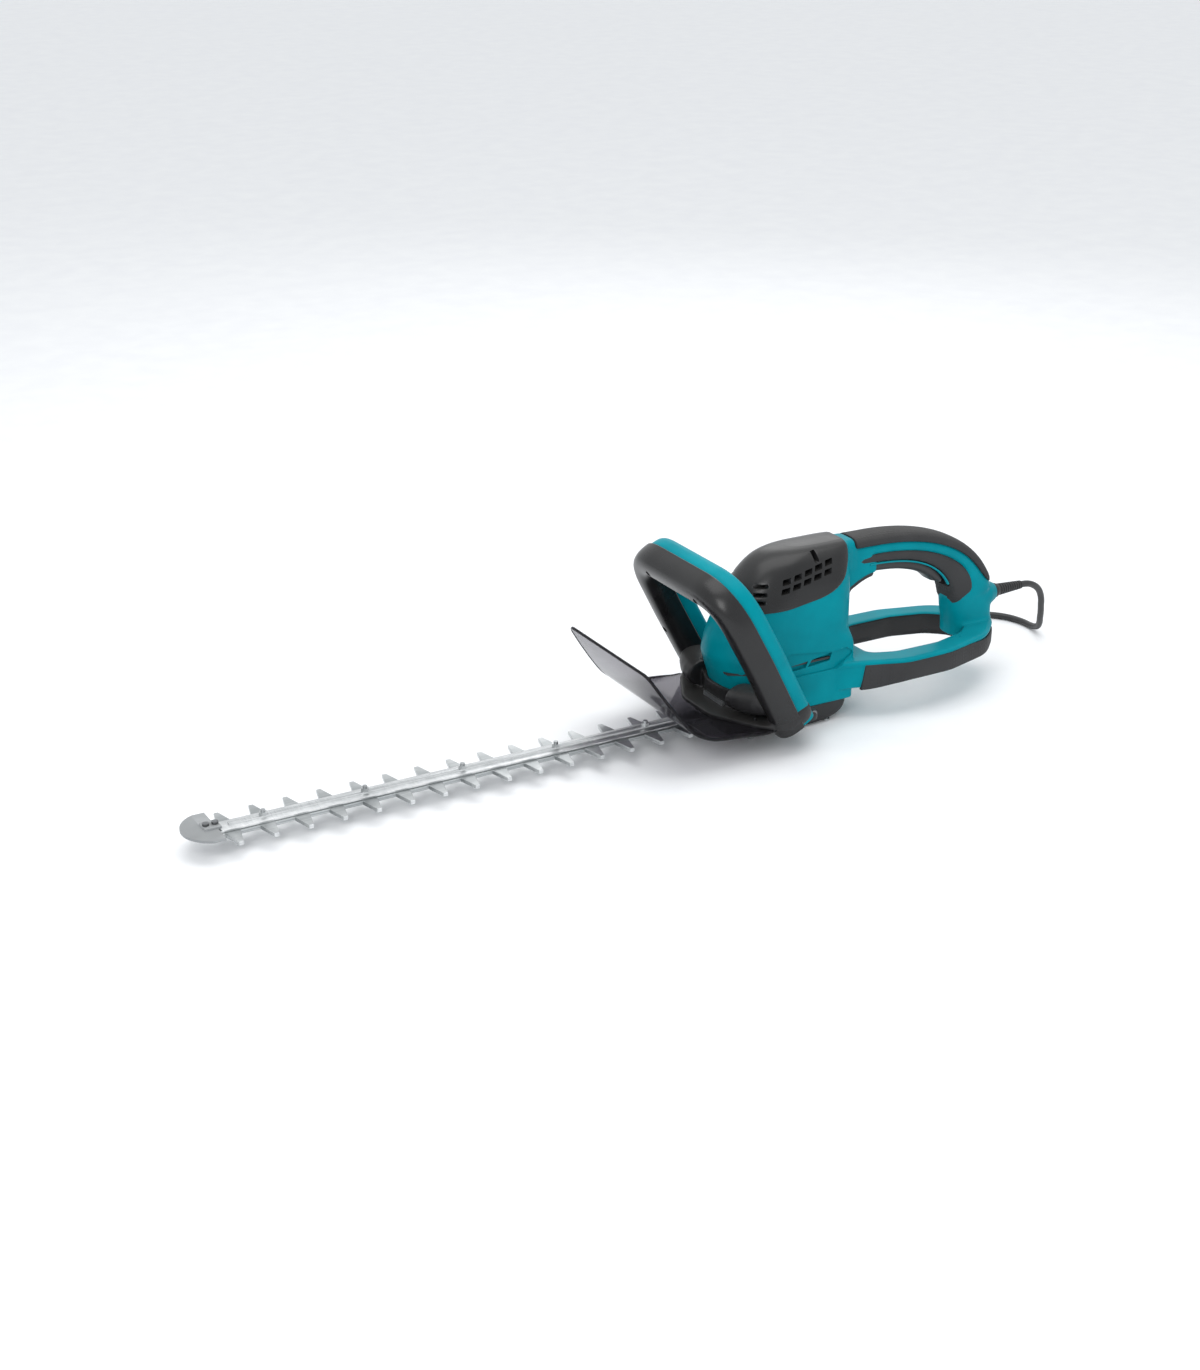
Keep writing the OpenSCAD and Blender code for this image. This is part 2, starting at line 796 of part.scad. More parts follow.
module brushes() {
    color("#303033")
    for (s = [-1, 1])
        block([axis_gap - 3.9, s > 0 ? comm_r + 0.3 : -comm_r - 15, comm_z + 3.1],
            [axis_gap + 3.9, s > 0 ? comm_r + 15 : -comm_r - 0.3, comm_z + 11.9]);
}

module brush_springs() {
    color(STEEL)
    for (s = [-1, 1])
        translate([axis_gap, s * (comm_r + 15), comm_z + 7.5]) rotate([-90 * s, 0, 0])
            coil(2.8, 0.4, 34 - comm_r - 15, 4);
}

// ---- cutting bar ----
function tooth(x, s) = [
    [x - s * tooth_root / 2, s * (blade_half - 1)], [x - s * tooth_tip / 2, s * tooth_reach],
    [x + s * tooth_tip / 2, s * tooth_reach], [x + s * tooth_root / 2, s * (blade_half - 1)]
];

module stadium(x, half_len, r, z0, z1) {
    rod(x - half_len, 0, z0, r, z1 - z0);
    rod(x + half_len, 0, z0, r, z1 - z0);
    block([x - half_len, -r, z0], [x + half_len, r, z1]);
}

module blade(z) {
    color(STEEL)
    difference() {
        union() {
            block([blade_front, -blade_half, z], [-yoke_x + 4, blade_half, z + blade_t]);
            block([-yoke_x, -yoke_half, z], [yoke_x, yoke_half, z + blade_t]);
            for (i = [0 : tooth_count - 1], s = [-1, 1])
                plan_slab(tooth(last_tooth - tooth_pitch * i, s), z, z + blade_t);
        }
        stadium(0, crank_throw, window_r, z - 1, z + blade_t + 1);
        for (x = bolt_x)
            stadium(x, crank_throw + 0.3, bolt_r + 0.4, z - 1, z + blade_t + 1);
    }
}

module lower_blade() {
    blade(blade_low);
}

module upper_blade() {
    blade(upper_z);
}

module guide_bar() {
    color(STEEL)
    difference() {
        union() {
            block([bar_front, -bar_half, bar_z], [bar_rear, bar_half, bar_z + bar_t]);
            block([first_tooth, -3, bar_z + bar_t - 0.5], [last_tooth, 3, bar_z + bar_t + rib_h]);
        }
        for (x = bolt_x)
            rod(x, 0, bar_z - 1, bolt_r + 0.02, 10);
        for (x = tip_screw_x)
            rod(x, 0, bar_z - 1, 2.02, 10);
    }
}

tip_screw_x = [bar_front + 5, bar_front + 15];

module blade_bolts() {
    color("#8d8f92")
    for (x = bolt_x) {
        rod(x, 0, blade_low - slide_gap - 3, 5, 3);
        rod(x, 0, blade_low - slide_gap - 0.5, bolt_r, bar_z + bar_t + 9 - blade_low);
    }
}

module blade_nuts() {
    color("#8d8f92")
    for (x = [for (i = bolt_teeth) last_tooth - tooth_pitch * i])
        difference() {
            translate([x, 0, bar_z + bar_t + rib_h]) cylinder(r = 4.6, h = 3.6, $fn = 6);
            rod(x, 0, bar_z, bolt_r + 0.02, 20);
        }
}

module tip_protector() {
    color("#808284")
    difference() {
        union() {
            intersection() {
                rod(bar_front + 14, 0, bar_z + bar_t, tip_r, 3);
                block([bar_front - 30, -tip_r + 2, bar_z], [bar_front + 15, tip_r - 2, bar_z + 10]);
            }
            block([bar_front + 1, -9, bar_z + bar_t + 2], [bar_front + 19, 9, bar_z + bar_t + 5]);
        }
        for (x = tip_screw_x)
            rod(x, 0, bar_z - 1, 2.02, 20);
    }
}

module tip_screws() {
    color("#333333")
    for (x = tip_screw_x) {
        rod(x, 0, bar_z + bar_t + 5, 3.6, 2.6);
        rod(x, 0, bar_z, 2, bar_t + 6);
    }
}

// ---- guard ----
function thicken(p, t) = [
    for (i = [0 : len(p) - 1])
        let (a = p[max(i - 1, 0)], b = p[min(i + 1, len(p) - 1)])
        p[i] - t * left(unit(b - a))
];

module guard() {
    color(SMOKE)
    difference() {
        union() {
            intersection() {
                side_slab(concat(guard_side, reversed(thicken(guard_side, guard_t))), -guard_half, guard_half);
                front_slab(rounded([[-guard_half, 20, 0], [guard_half, 20, 0], [guard_half - 4, 80, 50],
                    [guard_half - 11, guard_top, 20], [11 - guard_half, guard_top, 20],
                    [4 - guard_half, 80, 50]]), -300, 0);
                plan_slab(rounded([[-230, -guard_half, 0], [-40, -guard_half, 0], [-18, -80, 8], [-18, 80, 8],
                    [-40, guard_half, 0], [-230, guard_half, 0]]), 0, 300);
            }
            for (s = [-1, 1])
                side_slab([[-68, guard_z], [-100, guard_z], [-140, guard_z + 13], [-128, guard_z + rim_h + 6],
                    [-100, guard_z + rim_h], [-74, guard_z + 9]],
                    s > 0 ? guard_half - 3 : -guard_half, s > 0 ? guard_half : -guard_half + 3);
        }
        plan_slab(rounded(inset(body_plan, -1)), 0, 100);
        for (p = guard_screw_at)
            rod(p[0], p[1], 0, 2.3, 60);
    }
}

guard_screw_at = [[-56, -70], [-56, 70], [-28, -70], [-28, 70]];

module guard_screws() {
    color("#333333")
    for (p = guard_screw_at) {
        rod(p[0], p[1], guard_z - 2.6, 4, 2.6);
        rod(p[0], p[1], guard_z - 1, 2, 12);
    }
}

// ---- front handle ----
base_gap = 0.3;

module handle_base() {
    color(DARK)
    difference() {
        plan_slab(rounded([[-94, -30, 30], [-66, -84, 24], [-50, -loop_half - 9, 8], [16, -loop_half - 9, 12],
            [26, -body_half - 8, 10], [26, body_half + 8, 10], [16, loop_half + 9, 12],
            [-50, loop_half + 9, 8], [-66, 84, 24], [-94, 30, 30]]), guard_z + guard_t + 0.1, foot_z);
        plan_slab(rounded(inset(body_plan, -base_gap)), 0, 100);
        for (p = guard_screw_at)
            rod(p[0], p[1], 0, 2.02, guard_z + 12);
        for (x = side_screw_x)
            y_rod(x, -120, side_screw_z, 2.02, 240);
        for (x = side_screw_x, s = [-1, 1])
            y_rod(x, s > 0 ? loop_half : -loop_half - 20, side_screw_z, 4.2, 20);
    }
}

side_screw_x = [-36, 8];
side_screw_z = 41;

// Leaning frame of the front handle: x is its normal, z runs up the loop.
module lean() {
    translate([loop_foot[0], 0, loop_foot[1]]) rotate([0, -loop_lean, 0]) children();
}

function section_front(w) = concat(
    [for (k = [0 : 8]) let (a = -90 + 22.5 * k)
        [leg_n[1] - (leg_n[1] - leg_n[0]) * pow(max(cos(a), 0), 0.7), w * sin(a)]]
);
function section_rear(w) = concat(
    [for (k = [8 : -1 : 0]) let (a = -90 + 22.5 * k)
        [leg_n[1] + (leg_n[2] - leg_n[1]) * pow(max(cos(a), 0), 0.5), (w - 1.5) * sin(a)]]
);

function path_dir(p, i) = unit(p[min(i + 1, len(p) - 1)] - p[max(i - 1, 0)]);
// Height along the loop where a point at n meets the handle base's top face
function foot_v(n) = (foot_z - loop_foot[1] - n * sin(loop_lean)) / cos(loop_lean);
function loop_rings(sec) =
    let (p = rounded_line(loop_path), m = len(p) - 1)
    [for (i = [0 : m]) let (q = left(path_dir(p, i)))
        [for (s = sec) [s[0], p[i][0] + s[1] * q[0],
            i == 0 || i == m ? foot_v(s[0]) : p[i][1] + s[1] * q[1]]]];

module handle_front() {
    color(DARK)
    lean()
        difference() {
            tube(loop_rings(section_front(tube_half)));
            lever_pocket();
            handle_screw_holes();
        }
}

module lever_pocket() {
    block([pocket_n[0], -pocket_half, loop_h - tube_half - 12], [pocket_n[1], pocket_half, pocket_top]);
    block([pocket_n[0], -11.1, pocket_top - 1], [pocket_n[1], 11.1, pocket_top + 11]);
    for (y = [-24, 24])
        translate([(pocket_n[0] + pocket_n[1]) / 2, y, pocket_top - 1]) cylinder(r = 3.6, h = 10, $fn = 24);
}

module handle_rear() {
    color(TEAL)
    lean() tube(loop_rings(section_rear(tube_half)));
}

shell_screw_at = [[-50, loop_h - 3], [50, loop_h - 3], [-loop_half - 1, loop_h * 0.45], [loop_half + 1, loop_h * 0.45]];

module handle_screw_holes() {
    for (p = shell_screw_at) {
        translate([leg_n[0] - 1, p[0], p[1]]) rotate([0, 90, 0]) cylinder(r = 2.02, h = 40, $fn = 32);
        translate([leg_n[0] - 4, p[0], p[1]]) rotate([0, 90, 0]) cylinder(r = 3.8, h = 12.1, $fn = 32);
    }
}

module handle_screws() {
    color("#333333") {
        lean()
            for (p = shell_screw_at)
                translate([leg_n[0] + 5.5, p[0], p[1]]) rotate([0, 90, 0]) {
                    cylinder(r = 3.6, h = 2.5, $fn = 32);
                    cylinder(r = 2, h = 32, $fn = 32);
                }
        for (x = side_screw_x, s = [-1, 1])
            union() {
                y_rod(x, s > 0 ? loop_half + 0.2 : -loop_half - 2.6, side_screw_z, 4, 2.4);
                y_rod(x, s > 0 ? body_half - 1.4 : -loop_half - 1, side_screw_z, 2, loop_half - body_half + 2.4);
            }
    }
}

module front_switch_bar() {
    color("#333333")
    lean()
        block([pocket_n[0] + 0.4, -pocket_half + 0.5, bar_low], [pocket_n[1] - 0.4, pocket_half - 0.5, loop_h - 10]);
}

module front_switch() {
    color("#222222")
    lean()
        block([pocket_n[0] + 0.2, -11, pocket_top - 1.2], [pocket_n[1] - 0.2, 11, pocket_top + 10.9]);
}

module bar_springs() {
    color(STEEL)
    lean()
        for (y = [-24, 24])
            translate([(pocket_n[0] + pocket_n[1]) / 2, y, loop_h - 10])
                coil(2.6, 0.4, pocket_top + 9 - loop_h + 10, 4);
}

// ---- rear handle ----
module grip_layer(d0, d1, half) {
    side_slab(concat([[112, body_top - 3 - d0]], run(arch_top, d0, 0, 0.93),
        reversed(run(arch_top, d1, 0, 0.93)), [[112, body_top - 3 - d1]]), -half, half);
}

module upper_grip() {
    color(RUBBER) {
        grip_layer(0, 3, grip_half - 8);
        grip_layer(3, 8, grip_half - 3);
        grip_layer(8, band_1, grip_half);
    }
}

module lower_grip() {
    color(RUBBER)
    difference() {
        side_slab(concat(run(arch_low, 0, 0, 0.93), reversed(run(arch_top, band_2, 0.0, 0.93)),
            [[101, 184]], [[101, 172]]), -grip_half, grip_half);
        trigger_cavity();
        y_rod(trigger_at[0], -50, trigger_at[1] + 4.5, 2.02, 100);
        block([switch_box[0][0] - seat_fit, -9.1, 160], [switch_box[1][0] + seat_fit, 9.1, 195]);
    }
}

module trigger_cavity() {
    side_slab(concat(run(arch_low, 4, 0.02, 0.86), reversed([
        for (k = [0 : 14]) let (t = 0.02 + 0.84 * k / 14)
            bez(arch_low, t) + (9 + 6 * t) * left(bez_dir(arch_low, t))])), -trigger_half - 0.6, trigger_half + 0.6);
}

module rear_trigger() {
    color("#2c2c2e")
    difference() {
        side_slab(concat(run(arch_low, 8, 0.08, 0.76), reversed(run(arch_low, -2.4, 0.05, 0.78))),
            -trigger_half, trigger_half);
        y_rod(trigger_at[0], -50, trigger_at[1] + 4.5, 2 + run_fit, 100);
    }
}

module trigger_pin() {
    color(STEEL)
    y_rod(trigger_at[0], -grip_half + 2, trigger_at[1] + 4.5, 2, 2 * grip_half - 4);
}

module trigger_spring() {
    color(STEEL)
    translate([232, 0, 151]) coil(3, 0.5, 9.2, 3);
}

module rear_switch() {
    color("#222222")
    block([switch_box[0][0], -9, switch_box[0][1] + 2.3], [switch_box[1][0], 9, switch_box[1][1]]);
}

module switch_leads() {
    color("#1d1d1f")
    difference() {
        lead_channel(2.4, 1.6);
        block([switch_box[0][0] - 0.2, -20, 170], [switch_box[1][0] + 0.2, 20, 195]);
    }
}

module ring_skirt() {
    color(RUBBER)
    difference() {
        ring_form(ring_low, ring_high - 11, 0, skin);
        plan_slab(rounded(inset(ring_outer, skin)), 0, 100);
        block([0, -100, 0], [body_rear + 3, 100, 100]);
    }
}

module ring_liner() {
    color(RUBBER)
    difference() {
        plan_slab(rounded(inset(ring_inner, -skin)), ring_low, ring_high - 2);
        plan_slab(rounded(ring_inner), ring_low - 1, ring_high);
    }
}

// ---- cord ----
module cord_clamp() {
    color("#222222")
    difference() {
        block([287, -11, 92], [299, 11, 104]);
        x_rod(280, 0, sleeve_z, cord_d / 2 + 0.05, 30);
    }
}

module strain_relief() {
    color("#1d1d1f")
    difference() {
        union() {
            x_rod(sleeve_x + 20.2, 0, sleeve_z, 6.6, 20);
            translate([sleeve_x + 40, 0, sleeve_z]) rotate([0, 90, 0])
                cylinder(r1 = 6.6, r2 = cord_d / 2 + 1.2, h = sleeve_end - sleeve_x - 42, $fn = 48);
        }
        x_rod(sleeve_x, 0, sleeve_z, cord_d / 2 + 0.05, 100);
    }
}

function cross3(a, b) = [a[1] * b[2] - a[2] * b[1], a[2] * b[0] - a[0] * b[2], a[0] * b[1] - a[1] * b[0]];
function route_ring(p, i, r, n) =
    let (d = unit(p[min(i + 1, len(p) - 1)] - p[max(i - 1, 0)]),
         q = unit(cross3([0, 0, 1], d)), u = cross3(d, q))
    [for (j = [0 : n - 1]) p[i] + r * (cos(360 * j / n) * q + sin(360 * j / n) * u)];

module cord() {
    color("#1d1d1f")
    tube([for (i = [0 : len(cord_route) - 1]) route_ring(cord_route, i, cord_d / 2, 10)]);
}

module plug_body() {
    color("#1d1d1f")
    difference() {
        union() {
            block([plug_x - 34, plug_y - 15, 0.2], [plug_x - 8, plug_y + 15, 17]);
            x_rod(plug_x - 9, plug_y, 8.2, 8, 7);
        }
        x_rod(plug_x - 4, plug_y, 4.3, cord_d / 2 + 0.05, 20);
    }
}

module plug_pins() {
    color(STEEL)
    for (s = [-1, 1])
        x_rod(plug_x - 34 - 19, plug_y + s * 9.5, 8.6, 2.4, 19);
}

housing_left();
housing_right();
motor_cover();
base_cover();
gear_case();
crank_bearings();
armature_bearings();
motor_bracket();
field_core();
field_coils();
brush_holders();
brushes();
brush_springs();
fan_baffle();
capacitor();
guide_bar();
tip_protector();
tip_screws();
blade_bolts();
blade_nuts();
guard();
guard_screws();
handle_front();
handle_rear();
handle_base();
handle_screws();
front_switch();
upper_grip();
lower_grip();
ring_skirt();
ring_liner();
trigger_pin();
rear_switch();
switch_leads();
cord_clamp();
strain_relief();
housing_screws();
base_screws();
cord();
plug_body();
plug_pins();
crank_shaft();
crank_gear();
armature_shaft();
pinion();
armature_core();
armature_windings();
commutator();
fan();
upper_blade();
lower_blade();
rear_trigger();
trigger_spring();
front_switch_bar();
bar_springs();
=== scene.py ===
# %% [markdown]
# # A corded hedge trimmer, dressed for a close look
# The measured parts of the machine are already modelled and packed. They load here as a fixed frame,
# and nothing in this lesson moves or reshapes them. We build softer, finer pieces that stand over the
# plain ones, and we give every piece a finish made of nodes. All lengths are typed in millimetres,
# because that is how such a machine is drawn, and one factor turns them into Blender's metres.

# %% Load the frame
import math
import bpy
import bmesh
import numpy as np
from mathutils import Matrix, Vector


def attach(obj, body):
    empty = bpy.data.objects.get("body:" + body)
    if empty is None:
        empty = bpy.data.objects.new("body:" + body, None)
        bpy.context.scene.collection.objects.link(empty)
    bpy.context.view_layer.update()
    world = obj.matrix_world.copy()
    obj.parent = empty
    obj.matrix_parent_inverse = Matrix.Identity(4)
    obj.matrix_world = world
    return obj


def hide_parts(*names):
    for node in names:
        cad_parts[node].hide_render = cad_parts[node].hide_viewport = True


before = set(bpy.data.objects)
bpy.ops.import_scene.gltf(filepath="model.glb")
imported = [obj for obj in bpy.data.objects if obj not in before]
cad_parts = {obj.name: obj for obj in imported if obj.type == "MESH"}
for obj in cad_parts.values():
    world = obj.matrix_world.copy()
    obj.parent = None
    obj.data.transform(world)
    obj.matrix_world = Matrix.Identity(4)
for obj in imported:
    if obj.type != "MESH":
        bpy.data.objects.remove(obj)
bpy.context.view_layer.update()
MM = 0.001
scene = bpy.context.scene

# %% [markdown]
# ## Camera
# A product picture of a long tool is taken from its cutting side, a little from above and from far
# away, so that the near and the far ends keep nearly the same scale. We place the lens 2.4 m from a
# point on the machine's middle line and aim it with a look-at rotation, which needs no constraint.

# %% The camera
def aim(eye, target):
    # The turn that points a camera or a lamp at eye towards target
    return (Vector(target) - Vector(eye)).to_track_quat("-Z", "Y").to_euler()


AZIMUTH, ELEVATION, DISTANCE = math.radians(-29.45), math.radians(23.1), 2.41775
target = Vector((-0.21428, 0.0, 0.08802))
back = Vector((math.sin(AZIMUTH) * math.cos(ELEVATION),
               -math.cos(AZIMUTH) * math.cos(ELEVATION), math.sin(ELEVATION)))
eye = target + DISTANCE * back
camera = bpy.data.objects.new("camera", bpy.data.cameras.new("camera"))
scene.collection.objects.link(camera)
camera.location = eye
camera.rotation_euler = aim(eye, target)
camera.data.lens = 57.81
camera.data.sensor_width = 36
scene.camera = camera
print("camera at", [round(c, 3) for c in eye])

# %% [markdown]
# ## Floor and light
# Studio sweeps are one pale sheet with big soft lamps around it. A wide plane and three area lamps do
# the same: a large one over the machine, one from the front left that draws the long highlights on the
# moulded plastic, and a weak one behind that separates the dark handle from the ground.

# %% Floor and lamps
def lamp(name, place, size, watts):
    data = bpy.data.lights.new(name, "AREA")
    data.shape, data.size, data.size_y = "RECTANGLE", size[0], size[1]
    data.energy = watts
    obj = bpy.data.objects.new(name, data)
    scene.collection.objects.link(obj)
    obj.location = place
    obj.rotation_euler = aim(place, (-0.15, 0, 0.08))


floor_mesh = bpy.data.meshes.new("floor")
FLOOR_HALF = 9
floor_mesh.from_pydata([(x * FLOOR_HALF, y * FLOOR_HALF, 0) for x, y in ((-1, -1), (1, -1), (1, 1), (-1, 1))],
                       [], [(0, 1, 2, 3)])
floor = bpy.data.objects.new("floor", floor_mesh)
scene.collection.objects.link(floor)
lamp("overhead", (-0.1, 0.1, 1.9), (2.2, 1.4), 17)
lamp("front_left", (-1.7, -1.3, 1.5), (0.9, 1.2), 15)
lamp("back_rim", (1.2, 1.7, 1.3), (1.4, 0.8), 5)
world = bpy.data.worlds.new("studio")
world.use_nodes = True
world.node_tree.nodes["Background"].inputs["Color"].default_value = (0.96, 0.98, 1.0, 1)
world.node_tree.nodes["Background"].inputs["Strength"].default_value = 0.9
scene.world = world
scene.view_settings.view_transform = "Standard"

# %% [markdown]
# ## Power cord
# Trimmers of this kind leave the factory with a short lead that ends in a plug, and the gardener's long
# extension cable hooks on there. A rubber lead about 0.3 m long comes straight out of its sleeve, bends
# down under its own weight and rests on the ground. We draw it as one curve through given points and
# let the curve's bevel give it thickness, which keeps its length exact.

# %% The cord
CORD_D = 8.0
route = [(302, 0, 98), (320, 0, 98), (340, 0, 98), (360, 0, 98), (374, 0, 98), (386, 1, 96.5),
         (397, 3, 92), (407, 6, 85), (415, 10, 76), (421, 14, 66), (426, 19, 55), (431, 24, 44),
         (436, 30, 33), (442, 37, 23), (448, 46, 14), (453, 57, 8), (456, 70, 4.6), (456, 84, 4.3),
         (453, 98, 4.3), (447, 111, 4.3), (438, 122, 4.3), (427, 131, 4.3), (414, 137, 4.3),
         (400, 140, 4.3), (386, 141, 4.3)]
cord_curve = bpy.data.curves.new("power_cord", "CURVE")
cord_curve.dimensions = "3D"
cord_curve.bevel_depth = CORD_D / 2 * MM
cord_curve.bevel_resolution = 6
cord_curve.resolution_u = 8
spline = cord_curve.splines.new("BEZIER")
spline.bezier_points.add(len(route) - 1)
for point, place in zip(spline.bezier_points, route):
    point.co = [c * MM for c in place]
    point.handle_left_type = point.handle_right_type = "AUTO"
power_cord = bpy.data.objects.new("power_cord", cord_curve)
scene.collection.objects.link(power_cord)

# %% [markdown]
# ## Small effects that many finishes share
# Moulded plastic, rubber and steel differ in colour and gloss, but the same few effects make them look
# real: a fine grain that breaks up reflections, slow patches where hands have polished the surface, and
# pale wear where edges rub. Each effect becomes a node group with named sockets, so a finish only has to
# place it and choose its numbers. The groups give out values; the shader stays in each material.

# %% Node group helpers
def node_group(name, inputs, outputs):
    tree = bpy.data.node_groups.new(name, "ShaderNodeTree")
    for label, value in inputs:
        socket = tree.interface.new_socket(label, in_out="INPUT", socket_type="NodeSocketFloat")
        socket.default_value = value
    for label in outputs:
        tree.interface.new_socket(label, in_out="OUTPUT", socket_type="NodeSocketFloat")
    start = tree.nodes.new("NodeGroupInput")
    end = tree.nodes.new("NodeGroupOutput")
    return tree, start, end


def add(tree, kind, **values):
    # One node; plain words set properties, and names with capitals set input sockets
    node = tree.nodes.new(kind)
    for key, value in values.items():
        if key[0].isupper():
            node.inputs[key.replace("_", " ")].default_value = value
        else:
            setattr(node, key, value)
    return node


def maths(tree, operation, first, second):
    node = tree.nodes.new("ShaderNodeMath")
    node.operation = operation
    for socket, value in zip(node.inputs, (first, second)):
        if isinstance(value, (int, float)):
            socket.default_value = value
        else:
            tree.links.new(value, socket)
    return node.outputs[0]


print("node helpers ready")

# %% Grain and patches
grain, start, end = node_group("grain and patches", [("Grain size", 900), ("Patch size", 18)],
                               ["Height", "Patches"])
place = add(grain, "ShaderNodeTexCoord")
fine = add(grain, "ShaderNodeTexNoise", Detail=3, Roughness=0.6)
slow = add(grain, "ShaderNodeTexNoise", Detail=4, Roughness=0.55)
for noise, label in ((fine, "Grain size"), (slow, "Patch size")):
    grain.links.new(place.outputs["Object"], noise.inputs["Vector"])
    grain.links.new(start.outputs[label], noise.inputs["Scale"])
grain.links.new(fine.outputs[0], end.inputs["Height"])
stretch = add(grain, "ShaderNodeMapRange", From_Min=0.32, From_Max=0.68)
grain.links.new(slow.outputs[0], stretch.inputs["Value"])
grain.links.new(stretch.outputs["Result"], end.inputs["Patches"])
print("effect:", grain.name)

# %% Worn edges
wear, start, end = node_group("worn edges", [("Reach", 0.52), ("Softness", 0.06)], ["Mask"])
shape = add(wear, "ShaderNodeNewGeometry")
place = add(wear, "ShaderNodeTexCoord")
chips = add(wear, "ShaderNodeTexNoise", Scale=140, Detail=4)
wear.links.new(place.outputs["Object"], chips.inputs["Vector"])
top = maths(wear, "ADD", start.outputs["Reach"], start.outputs["Softness"])
edge = add(wear, "ShaderNodeMapRange")
wear.links.new(shape.outputs["Pointiness"], edge.inputs["Value"])
wear.links.new(start.outputs["Reach"], edge.inputs["From Min"])
wear.links.new(top, edge.inputs["From Max"])
wear.links.new(maths(wear, "MULTIPLY", edge.outputs["Result"], chips.outputs[0]), end.inputs["Mask"])
print("effect:", wear.name)

# %% Brushed streaks
brushed, start, end = node_group("brushed streaks", [("Across", 900), ("Along", 12)],
                                 ["Height", "Streaks"])
place = add(brushed, "ShaderNodeTexCoord")
split = add(brushed, "ShaderNodeSeparateXYZ")
brushed.links.new(place.outputs["Object"], split.inputs[0])
join = add(brushed, "ShaderNodeCombineXYZ")
brushed.links.new(maths(brushed, "MULTIPLY", split.outputs[0], start.outputs["Along"]), join.inputs[0])
for axis in (1, 2):
    brushed.links.new(maths(brushed, "MULTIPLY", split.outputs[axis], start.outputs["Across"]),
                      join.inputs[axis])
lines = add(brushed, "ShaderNodeTexNoise", Scale=1, Detail=3)
brushed.links.new(join.outputs[0], lines.inputs["Vector"])
brushed.links.new(lines.outputs[0], end.inputs["Height"])
soft = add(brushed, "ShaderNodeMapRange", From_Min=0.3, From_Max=0.7)
brushed.links.new(lines.outputs[0], soft.inputs["Value"])
brushed.links.new(soft.outputs["Result"], end.inputs["Streaks"])
print("effect:", brushed.name)

# %% Settled dust
dust, start, end = node_group("settled dust", [("Amount", 0.25)], ["Mask"])
shape = add(dust, "ShaderNodeNewGeometry")
split = add(dust, "ShaderNodeSeparateXYZ")
dust.links.new(shape.outputs["Normal"], split.inputs[0])
up = add(dust, "ShaderNodeMapRange", From_Min=0.55, From_Max=1.0)
dust.links.new(split.outputs[2], up.inputs["Value"])
place = add(dust, "ShaderNodeTexCoord")
specks = add(dust, "ShaderNodeTexNoise", Scale=55, Detail=6, Roughness=0.7)
dust.links.new(place.outputs["Object"], specks.inputs["Vector"])
amount = maths(dust, "MULTIPLY", up.outputs["Result"], start.outputs["Amount"])
dust.links.new(maths(dust, "MULTIPLY", amount, specks.outputs[0]), end.inputs["Mask"])
print("shared effects:", [g.name for g in bpy.data.node_groups])

# %% [markdown]
# ## The finishes
# Four families cover the machine: moulded plastic (the bright shell, the dark cover and handle, the pale
# inner parts), rubber with raised dots where the hands go, metal with brushed or turned streaks, and the
# smoky clear guard. A recipe joins the shared effects to a Principled shader. Steady numbers such as the
# coat are typed straight into the shader, because only things that vary over the surface need a link.

# %% The recipe for an opaque finish
def srgb(code):
    # Turns a colour such as 00959e into the linear values that shaders use
    parts = [int(code[i:i + 2], 16) / 255 for i in (0, 2, 4)]
    return tuple(c / 12.92 if c <= 0.04045 else ((c + 0.055) / 1.055) ** 2.4 for c in parts) + (1,)


def place_group(tree, group, **values):
    node = tree.nodes.new("ShaderNodeGroup")
    node.node_tree = group
    for key, value in values.items():
        node.inputs[key.replace("_", " ")].default_value = value
    return node


def blend_colour(tree, mask, first, second):
    node = add(tree, "ShaderNodeMix", data_type="RGBA")
    tree.links.new(mask, node.inputs[0])
    for socket, value in ((node.inputs[6], first), (node.inputs[7], second)):
        if isinstance(value, tuple):
            socket.default_value = value
        else:
            tree.links.new(value, socket)
    return node.outputs[2]


